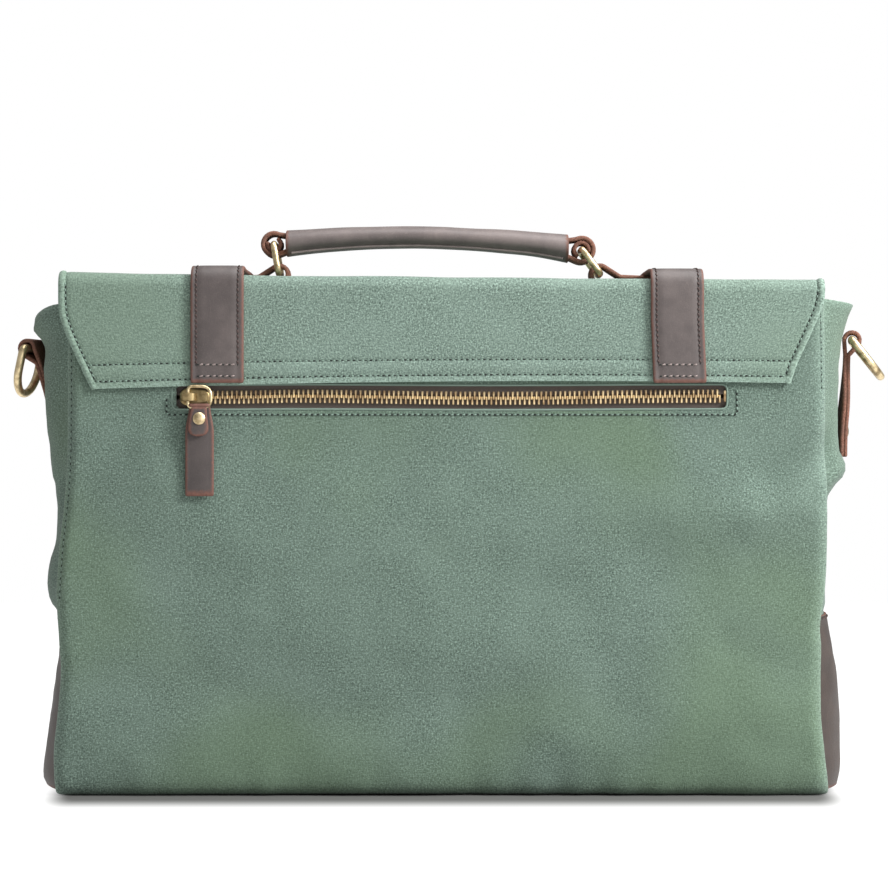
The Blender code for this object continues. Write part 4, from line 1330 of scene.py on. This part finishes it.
def flap_surface(x, s):
    """The flap's middle surface, with x from -SPAN to SPAN and s from the rear hem to the front hem."""
    here, out = flap_at(s)
    rear = smoothstep((REAR_LENGTH + 6 * MM - s) / (14 * MM))
    level = here.z if s < REAR_LENGTH else 280 * MM
    left, right = along(FLAP_LEFT, level / MM) * MM, along(FLAP_RIGHT, level / MM) * MM
    if s > REAR_LENGTH:
        settle = smoothstep((s - REAR_LENGTH) / (60 * MM))
        left, right = left + (-FLAP_HALF_WIDTH - left) * settle, right + (FLAP_HALF_WIDTH - right) * settle
        front_corner = 0.86 * max(0.0, (s - (FLAP_LENGTH - FLAP_CORNER)) / FLAP_CORNER)
        tuck = FLAP_CORNER * (1 - math.sqrt(max(0.0, 1 - front_corner**2)))
        left, right = left + tuck, right - tuck
    wide = left + (x + SPAN) / (2 * SPAN) * (right - left)
    near = min(wide - left, right - wide)
    t = wide / SPAN
    hem_drop = (-2.9 * t * t + 1.7 * t) * MM * max(0.0, 1 - s / (40 * MM))
    crest = (1.1 - 1.9 * t + 0.6 * t * t) * MM * math.exp(-(((s - REAR_LENGTH) / (22 * MM)) ** 2))
    sag = -2.6 * MM * math.sin(math.pi * min(max((s - REAR_LENGTH) / (100 * MM), 0), 1)) * (1 - 0.6 * t * t)
    soft = 0.55 * ripple(wide, s, 55 * MM, 70) + 0.30 * ripple(wide, s, 22 * MM, 75)
    soft += 0.30 * ripple(wide, s, 8 * MM, 78) * math.exp(-near / (9 * MM))
    room = 0.5 * MM if rear > 0.5 else 0.9 * MM
    pull = 1 + 0.3 * math.sin(2 * math.pi * wide / STITCH["pitch"])
    groove = 0.0
    for row in REAR_HEM_SEAMS:
        groove -= 0.60 * MM * math.exp(-(((s - row) / (0.9 * MM)) ** 2)) * pull
    groove -= 0.55 * MM * math.exp(-(((s - FLAP_LENGTH + FRONT_HEM_SEAM) / (0.9 * MM)) ** 2)) * pull
    if s > REAR_HEM_SEAMS[0]:
        groove -= 0.75 * MM * math.exp(-(((near - RIM_SEAM) / (0.8 * MM)) ** 2))
    rim = max(0.0, 1 - ((near - 1.2 * MM) / (1.3 * MM)) ** 2) * 0.75 * MM
    band = 0.35 * MM * smoothstep(s / (2 * MM)) * smoothstep((REAR_HEM_SEAMS[1] - s) / (2 * MM))
    lip = max(rim, 0.35 * MM * math.exp(-s / (1.6 * MM)))
    lift = out * (soft * MM * 0.8 + room * 0.3 + groove + lip + band)
    top = Vector((0, 0, crest + (sag if s > REAR_LENGTH else 0.0)))
    return Vector((wide, here.y, here.z + hem_drop)) + lift + top


def flap_columns(step):
    """Columns of the flap, a step apart and closer at its two side seams."""
    edge = [-SPAN + k * MM for k in (0, 0.35, 0.75, 1.2, 1.65, 2.1, 2.6, 3.1, 3.6, 4.2, 5.2, 7.0)]
    middle = stations(-SPAN + 11 * MM, SPAN - 11 * MM, step)
    return edge + middle + [-e for e in reversed(edge)]


def make_flap():
    xs = flap_columns(1.7 * MM)
    rows = stations(0, FLAP_LENGTH, 3.4 * MM, (*REAR_HEM_SEAMS, FLAP_LENGTH - FRONT_HEM_SEAM))
    rows = sorted({*rows, *(REAR_LENGTH + k * MM for k in range(-6, 8, 1))})
    rows = [r for i, r in enumerate(rows) if i == 0 or r - rows[i - 1] > 0.3 * MM]
    flap = cloth(
        "flap_cloth", xs, rows, flap_surface, FLAP_THICK, [CANVAS, LINING], worn=1.3 * MM,
    )
    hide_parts("flap_back", "flap", "flap_lining")

    face = FLAP_THICK / 2
    first, last = -SPAN + RIM_SEAM, SPAN - RIM_SEAM
    change, hem = REAR_LENGTH - 4 * MM, FLAP_LENGTH - FRONT_HEM_SEAM  # where the moving seams start and end
    rear_lines = [seam_line(flap_surface, [(first, row), (last, row)], face) for row in REAR_HEM_SEAMS]
    front_lines = []
    for x in (first, last):
        rear_lines.append(seam_line(flap_surface, [(x, REAR_HEM_SEAMS[0]), (x, change)], face + 0.35 * MM))
        front_lines.append(seam_line(flap_surface, [(x, change), (x, hem)], face))
    front_lines.append(seam_line(flap_surface, [(first, hem), (last, hem)], face))
    sewn = stitches("flap_rear_stitches", rear_lines, CANVAS_THREAD, 3.0 * MM, 1.9 * MM, hole=0.75 * MM)
    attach(sewn, "bag")
    moving = stitches("flap_front_stitches", front_lines, CANVAS_THREAD, 3.0 * MM, 1.9 * MM, hole=0.7 * MM)
    for obj in (flap, moving):
        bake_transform(obj)


# ------------------------------------------------------------------ straps and closures

STRAP_THICK = 2.4 * MM


def strap_path(side):
    """Up the rear, loosely over the top, and down the front of the flap."""
    low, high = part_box("strap_back_" + side)
    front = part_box("strap_front_" + side)
    x = (low.x + high.x) / 2
    rear_y = (low.y + high.y) / 2
    front_y = front[1].y - STRAP_THICK / 2
    top = front[1].z - STRAP_THICK / 2
    lean = 1.4 * MM if side == RIGHT else 0.0
    peak = 0.4 * MM if side == LEFT else -1.2 * MM
    bend = 8.5 * MM
    path = [Vector((x + lean, rear_y, low.z)), Vector((x, rear_y - 0.2 * MM, 250 * MM))]
    path += [Vector((x, rear_y - 0.4 * MM, 262 * MM))]
    path += arc_points((rear_y + bend, top - bend + peak), bend, 172, 92, 8, 0, x)
    path += [Vector((x, rear_y + 22 * MM, top - 0.3 * MM)), Vector((x, 0.0, top + 0.2 * MM))]
    path += arc_points((front_y - 11 * MM, top - 11 * MM), 11 * MM, 90, 0, 10, 0, x)
    return path + [Vector((x, front_y, front[0].z))]


def offset_line(path, side, across, out):
    """[(point, normal)] beside a strap's middle line."""
    points, _ = resample(path, 1.5 * MM)
    made = []
    for i, here in enumerate(points):
        way = points[min(i + 1, len(points) - 1)] - points[max(i - 1, 0)]
        normal = side.cross(way).normalized()
        made.append((here + side * across + normal * out, normal))
    return made


def make_strap(side):
    path = strap_path(side)
    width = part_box("strap_back_" + side)[1].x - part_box("strap_back_" + side)[0].x
    total = lengths_of(path)[-1]

    def tip(s):
        t = max(0.0, (s - (total - 11 * MM)) / (11 * MM))
        return math.sqrt(max(0.02, 1 - 0.93 * t * t))

    across = Vector((1, 0, 0))
    body = strap(
        "strap_" + side, path, width, STRAP_THICK, side=across, ends=3.6 * MM, tip=tip, sewn=0.4 * MM
    )
    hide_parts("strap_back_" + side, "strap_front_" + side)
    inset = width / 2 - STRAP_SEAM
    face = STRAP_THICK / 2 - 0.25 * MM
    long_lines = [offset_line(path, across, way * inset, face) for way in (-1, 1)]
    first = 8 * MM
    cut = []
    for line in long_lines:
        run = lengths_of([p for p, _ in line])
        cut.append([q for q, s in zip(line, run) if first <= s <= total - 14 * MM])
    sides = stitches(
        "strap_stitches_" + side, cut, LEATHER_THREAD, 2.7 * MM, 2.1 * MM, 0.85 * MM,
        hole=0.35 * MM, slant=0.55,
    )
    foot, _ = resample(path, 0.5 * MM)
    rows = []
    for s in (3.6 * MM, 9.8 * MM):
        here = foot[int(s / (0.5 * MM))]
        spots = [here + across * (inset * k / 4) + REARWARD * (face + 0.3 * MM) for k in range(-4, 5)]
        rows.append([(p, REARWARD) for p in spots])
    sewn = stitches("strap_end_stitches_" + side, rows, PALE_THREAD, 3.3 * MM, 2.4 * MM, 0.9 * MM, slant=0.35)
    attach(sewn, "bag")
    for obj in (body, sides):
        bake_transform(obj)


def make_closure(side):
    """Buckle, prong, patch and the two halves of the snap."""
    soften("buckle_" + side, 0.9 * MM, 3)
    recolour("buckle_" + side, BRASS)
    soften("buckle_prong_" + side, 0.45 * MM, 2)
    recolour("buckle_prong_" + side, BRASS)
    low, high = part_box("buckle_patch_" + side)
    x, y = (low.x + high.x) / 2, (low.y + high.y) / 2
    path = [Vector((x, y, high.z)), Vector((x, y, low.z))]
    wide, thick = high.x - low.x, high.y - low.y
    patch = strap("patch_" + side, path, wide, thick, side=Vector((1, 0, 0)), ends=1.6 * MM)
    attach(patch, "flap")
    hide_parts("buckle_patch_" + side)
    inset = 2.4 * MM
    x0, x1, z0, z1 = low.x + inset, high.x - inset, low.z + inset, high.z - inset
    corners = [(x0, z0), (x1, z0), (x1, z1), (x0, z1), (x0, z0)]
    out = Vector((0, 1, 0))
    line = [(Vector((a, high.y + 0.03 * MM, b)), out) for a, b in corners]
    rows = [[line[k], line[k + 1]] for k in range(4)]
    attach(stitches("patch_stitches_" + side, rows, LEATHER_THREAD, 2.4 * MM, 1.8 * MM, 0.6 * MM), "flap")
    for name in ("snap_base_", "snap_cap_"):
        soften(name + side, 0.3 * MM)
        recolour(name + side, BRASS)


# ------------------------------------------------------------------ handle


def make_chape(side):
    """A strap folded round a ring's lower bar, lying along the top of the flap."""
    low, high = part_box("handle_chape_" + side)
    way = SIGN[side]
    radius = (high.z - low.z) / 2
    inner = low.x if way > 0 else high.x
    centre_x = inner + way * radius
    centre_z = (low.z + high.z) / 2
    leather = 2.3 * MM
    loop_r = radius - 0.2 * MM
    end = high.x if way > 0 else low.x
    foot = centre_z - loop_r + 0.6 * MM
    start = 62 if way > 0 else 118
    stop = 270 if way > 0 else -90
    over = arc_points((centre_x, centre_z), loop_r, start, stop, 14, 1, 0.0)
    upper = [
        Vector((end, 0, foot + 0.9 * MM)),
        Vector((centre_x + way * 11 * MM, 0, foot + leather + 0.2 * MM)),
    ]
    path = upper + over + [Vector((centre_x + way * 10 * MM, 0, foot)), Vector((end, 0, foot - 0.4 * MM))]
    width = high.y - low.y
    piece = strap("chape_" + side, path, width, leather, RAW_LEATHER, Vector((0, way, 0)), ends=0.8 * MM)
    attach(piece, "flap")
    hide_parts("handle_chape_" + side)


def make_handle_ring(side):
    low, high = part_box("handle_ring_" + side)
    r = 1.8 * MM
    lean_x = high.x - low.x - 2 * r
    half_y = (high.y - low.y) / 2 - r
    foot = Vector((high.x - r, 0, low.z + r))
    head = Vector((high.x - r - lean_x, 0, high.z - r))
    y = Vector((0, half_y, 0))
    corners = [foot - y, foot + y, head + y, head - y]
    loop = dense_loop(round_path(corners, 4.2 * MM, 8), 0.7 * MM)
    ring = tube("ring_wire_" + side, loop, r, BRASS, closed=True, sides=18)
    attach(ring, "handle_ring_" + side)
    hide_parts("handle_ring_" + side)
    return head


def make_handle(left, right):
    grip_low, grip_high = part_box("handle_grip")
    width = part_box("handle_core")[1].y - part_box("handle_core")[0].y
    middle_x, half = (left.x + right.x) / 2, (right.x - left.x) / 2
    arch = 5.5 * MM

    def centre_z(x):
        t = (x - middle_x) / half
        return (left.z + right.z) / 2 + (right.z - left.z) / 2 * t + arch * (1 - t * t)

    leather = 2.4 * MM
    inside = 11 * MM
    for name, head, way, radius in (("left", left, -1, 6.0 * MM), ("right", right, 1, 6.5 * MM)):
        into = (grip_low.x if way < 0 else grip_high.x) - way * inside
        start = 180 + 118 if way < 0 else 118
        over = arc_points((head.x, head.z), radius, start, start - 236, 18, 1, 0.0)
        coil = arc_points((head.x, head.z), radius - leather, start - 236, start - 500, 18, 1, 0.0)
        lifts = (1.1, -1.1) if way > 0 else (-1.1, 1.1)
        ends = [Vector((into, 0, centre_z(into) + k * leather / 2)) for k in lifts]
        across = Vector((0, 1, 0))
        around = [ends[0]] + over + [ends[1]]
        outer = strap("handle_loop_" + name, around, width, leather, RAW_LEATHER, across, ends=0)
        inner = strap("handle_coil_" + name, coil, width - 1.2 * MM, leather, RAW_LEATHER, across, ends=0)
        for loop in (outer, inner):
            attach(loop, "handle")
        if way < 0:
            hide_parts("handle_core")

    steps, sides = 56, 28
    rings, edges, runs, seam = [], [], [], []
    for j in range(steps + 1):
        u = -1 + 2 * j / steps
        x = (grip_low.x + grip_high.x) / 2 + (grip_high.x - grip_low.x) / 2 * u
        flare = 6.0 + 1.2 * abs(u) ** 3 + (0.5 if u > 0 else 0) * abs(u) ** 4
        half_z = (flare + 0.25 * ripple(x, 0, 22 * MM, 4)) * MM
        half_y = (grip_high.y - grip_low.y) / 2 - 0.4 * MM
        z = centre_z(x) + 0.2 * MM * ripple(x, 0, 30 * MM, 9)
        ring = []
        for k in range(sides):
            a = 2 * math.pi * k / sides
            dent = 1 - 0.04 * math.exp(-(((math.degrees(a) - 222) / 9) ** 2))
            side = math.copysign(abs(math.cos(a)) ** 0.8, math.cos(a))
            ring.append(Vector((x, half_y * side * dent, z + half_z * math.sin(a) * dent)))
        rings.append(ring)
        bare = math.exp(-(1 - abs(u)) * (grip_high.x - grip_low.x) / 2 / (1.2 * MM))
        edges.append([bare] * sides)
        if abs(u) < 0.985:
            tilt = math.radians(236)
            seam.append(Vector((x, -half_y * abs(math.cos(tilt)) ** 0.8, z + half_z * math.sin(tilt))))
        runs.append(x)
    for end, other in ((rings[0], 1), (rings[-1], -1)):
        centre = sum(end, Vector()) / sides
        inner = [centre.lerp(p, 0.93) + Vector((-0.35 * MM * other, 0, 0)) for p in end]
        core = [centre.lerp(p, 0.55) for p in end]
        spot = 0 if other > 0 else len(rings)
        fresh = [core, inner] if other > 0 else [inner, core]
        rings[spot:spot] = fresh
        edges[spot:spot] = [[1.0] * sides, [1.0] * sides]
        runs[spot:spot] = [end[0].x] * 2
    grip = loft("grip", rings, GRIP_LEATHER, edges, runs)
    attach(grip, "handle")
    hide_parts("handle_grip")
    # A real seam under the grip; its pale colour is partly painted light, brightening the grip's underside
    # where bounce light falls.
    thick = [(0.8 + 0.2 * ripple(p.x, 0, 9 * MM, 2)) * MM for p in seam]
    bead = tube("grip_seam", seam, thick, PALE_SEAM_AND_BOUNCE_LEATHER, sides=10)
    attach(bead, "handle")


# ------------------------------------------------------------------ side hardware


SIDE_WIRE = 2.2 * MM
SIDE_RING_LEAN = {LEFT: math.radians(12.4), RIGHT: math.radians(38)}
SIDE_RING_HALF = 13 * MM
SIDE_RING_STRAIGHT = 12 * MM
STEM_OUT = {
    LEFT: ((178, 213.2), (192, 213.8), (211, 216.4), (226, 219.6), (233, 222.0)),
    RIGHT: ((178, 219.2), (192, 219.4), (212, 221.0), (228, 221.8), (237, 222.2)),
}  # how far the tab's outer face stands out, over height, in mm


def make_side_hardware(side):
    """The tab lies on the side's cloth, and turns towards its loop, where it holds the D-ring's bar."""
    way = SIGN[side]
    joint = JOINTS["side_ring_hinge_" + side]
    bar, bar_way = Vector(joint["pos_m"]), Vector(joint["axis"]).normalized()
    if bar_way.y < 0:
        bar_way = -bar_way
    twist = math.atan2(bar_way.x, bar_way.y)
    low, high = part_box("side_tab_" + side)
    leather = 2.2 * MM
    loop_r = high.z - bar.z - leather / 2 + 1.0 * MM
    width = 18 * MM

    def turned(point):
        share = smoothstep((point.z - 0.200) / 0.032)
        return Matrix.Rotation(-twist * share, 3, "Z")

    def across(point):
        return turned(point) @ Vector((0, way, 0))

    top = turned(bar)
    start, stop = (180, -58) if way > 0 else (0, 238)
    loop = [bar + top @ Vector((p.x, 0, p.z)) for p in arc_points((0, 0), loop_r, start, stop, 16, 1, 0.0)]
    heights = [low.z + (bar.z - 8 * MM - low.z) * k / 10 for k in range(11)]
    outer = [Vector((way * (along(STEM_OUT[side], z / MM) * MM - leather / 2), 0, z)) for z in heights]
    inner = [p - Vector((way * leather * 0.85, 0, 0)) for p in outer]
    path = inner + loop + outer[::-1]
    total = lengths_of(path)[-1]

    def taper(s):
        return 0.86 + 0.14 * smoothstep(min(s, total - s) / (30 * MM))

    tab = strap("side_strap_" + side, path, width, leather, RAW_LEATHER, across, ends=1.6 * MM, tip=taper)
    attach(tab, "bag")
    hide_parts("side_tab_" + side)
    out = Vector((way, 0, 0))
    rivet_low, rivet_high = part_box("side_rivet_" + side)
    z = (rivet_low.z + rivet_high.z) / 2
    face = Vector((way * along(STEM_OUT[side], z / MM) * MM, 0, z))
    head = dome("side_rivet_head_" + side, face - out * 0.1 * MM, out, 3.9 * MM, 1.7 * MM, BRASS)
    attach(head, "bag")
    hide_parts("side_rivet_" + side)

    half, straight = SIDE_RING_HALF, SIDE_RING_STRAIGHT
    lean = SIDE_RING_LEAN[side]
    down = top @ Vector((way * math.sin(lean), 0, -math.cos(lean)))
    corners = [
        bar + down * 5 * MM - bar_way * half, bar - bar_way * half,
        bar + bar_way * half, bar + down * 5 * MM + bar_way * half,
    ]
    hoop = round_path(corners, 3.0 * MM, 6, closed=False)
    for k in range(33):
        a = math.pi * k / 32
        hoop.append(bar + down * (straight + half * math.sin(a)) + bar_way * half * math.cos(a))
    ring = tube("d_ring_" + side, dense_loop(hoop, 0.8 * MM), SIDE_WIRE, BRASS, closed=True, sides=18)
    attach(ring, "side_ring_" + side)
    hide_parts("side_ring_" + side)


make_camera()
make_studio()
make_panels()
make_base_and_inside()
make_zip()
make_slider()
make_pull()
make_flap()
tops = {}
for one_side in (LEFT, RIGHT):
    make_side(one_side)
    make_strap(one_side)
    make_closure(one_side)
    make_chape(one_side)
    tops[one_side] = make_handle_ring(one_side)
    make_side_hardware(one_side)
make_handle(tops[LEFT], tops[RIGHT])
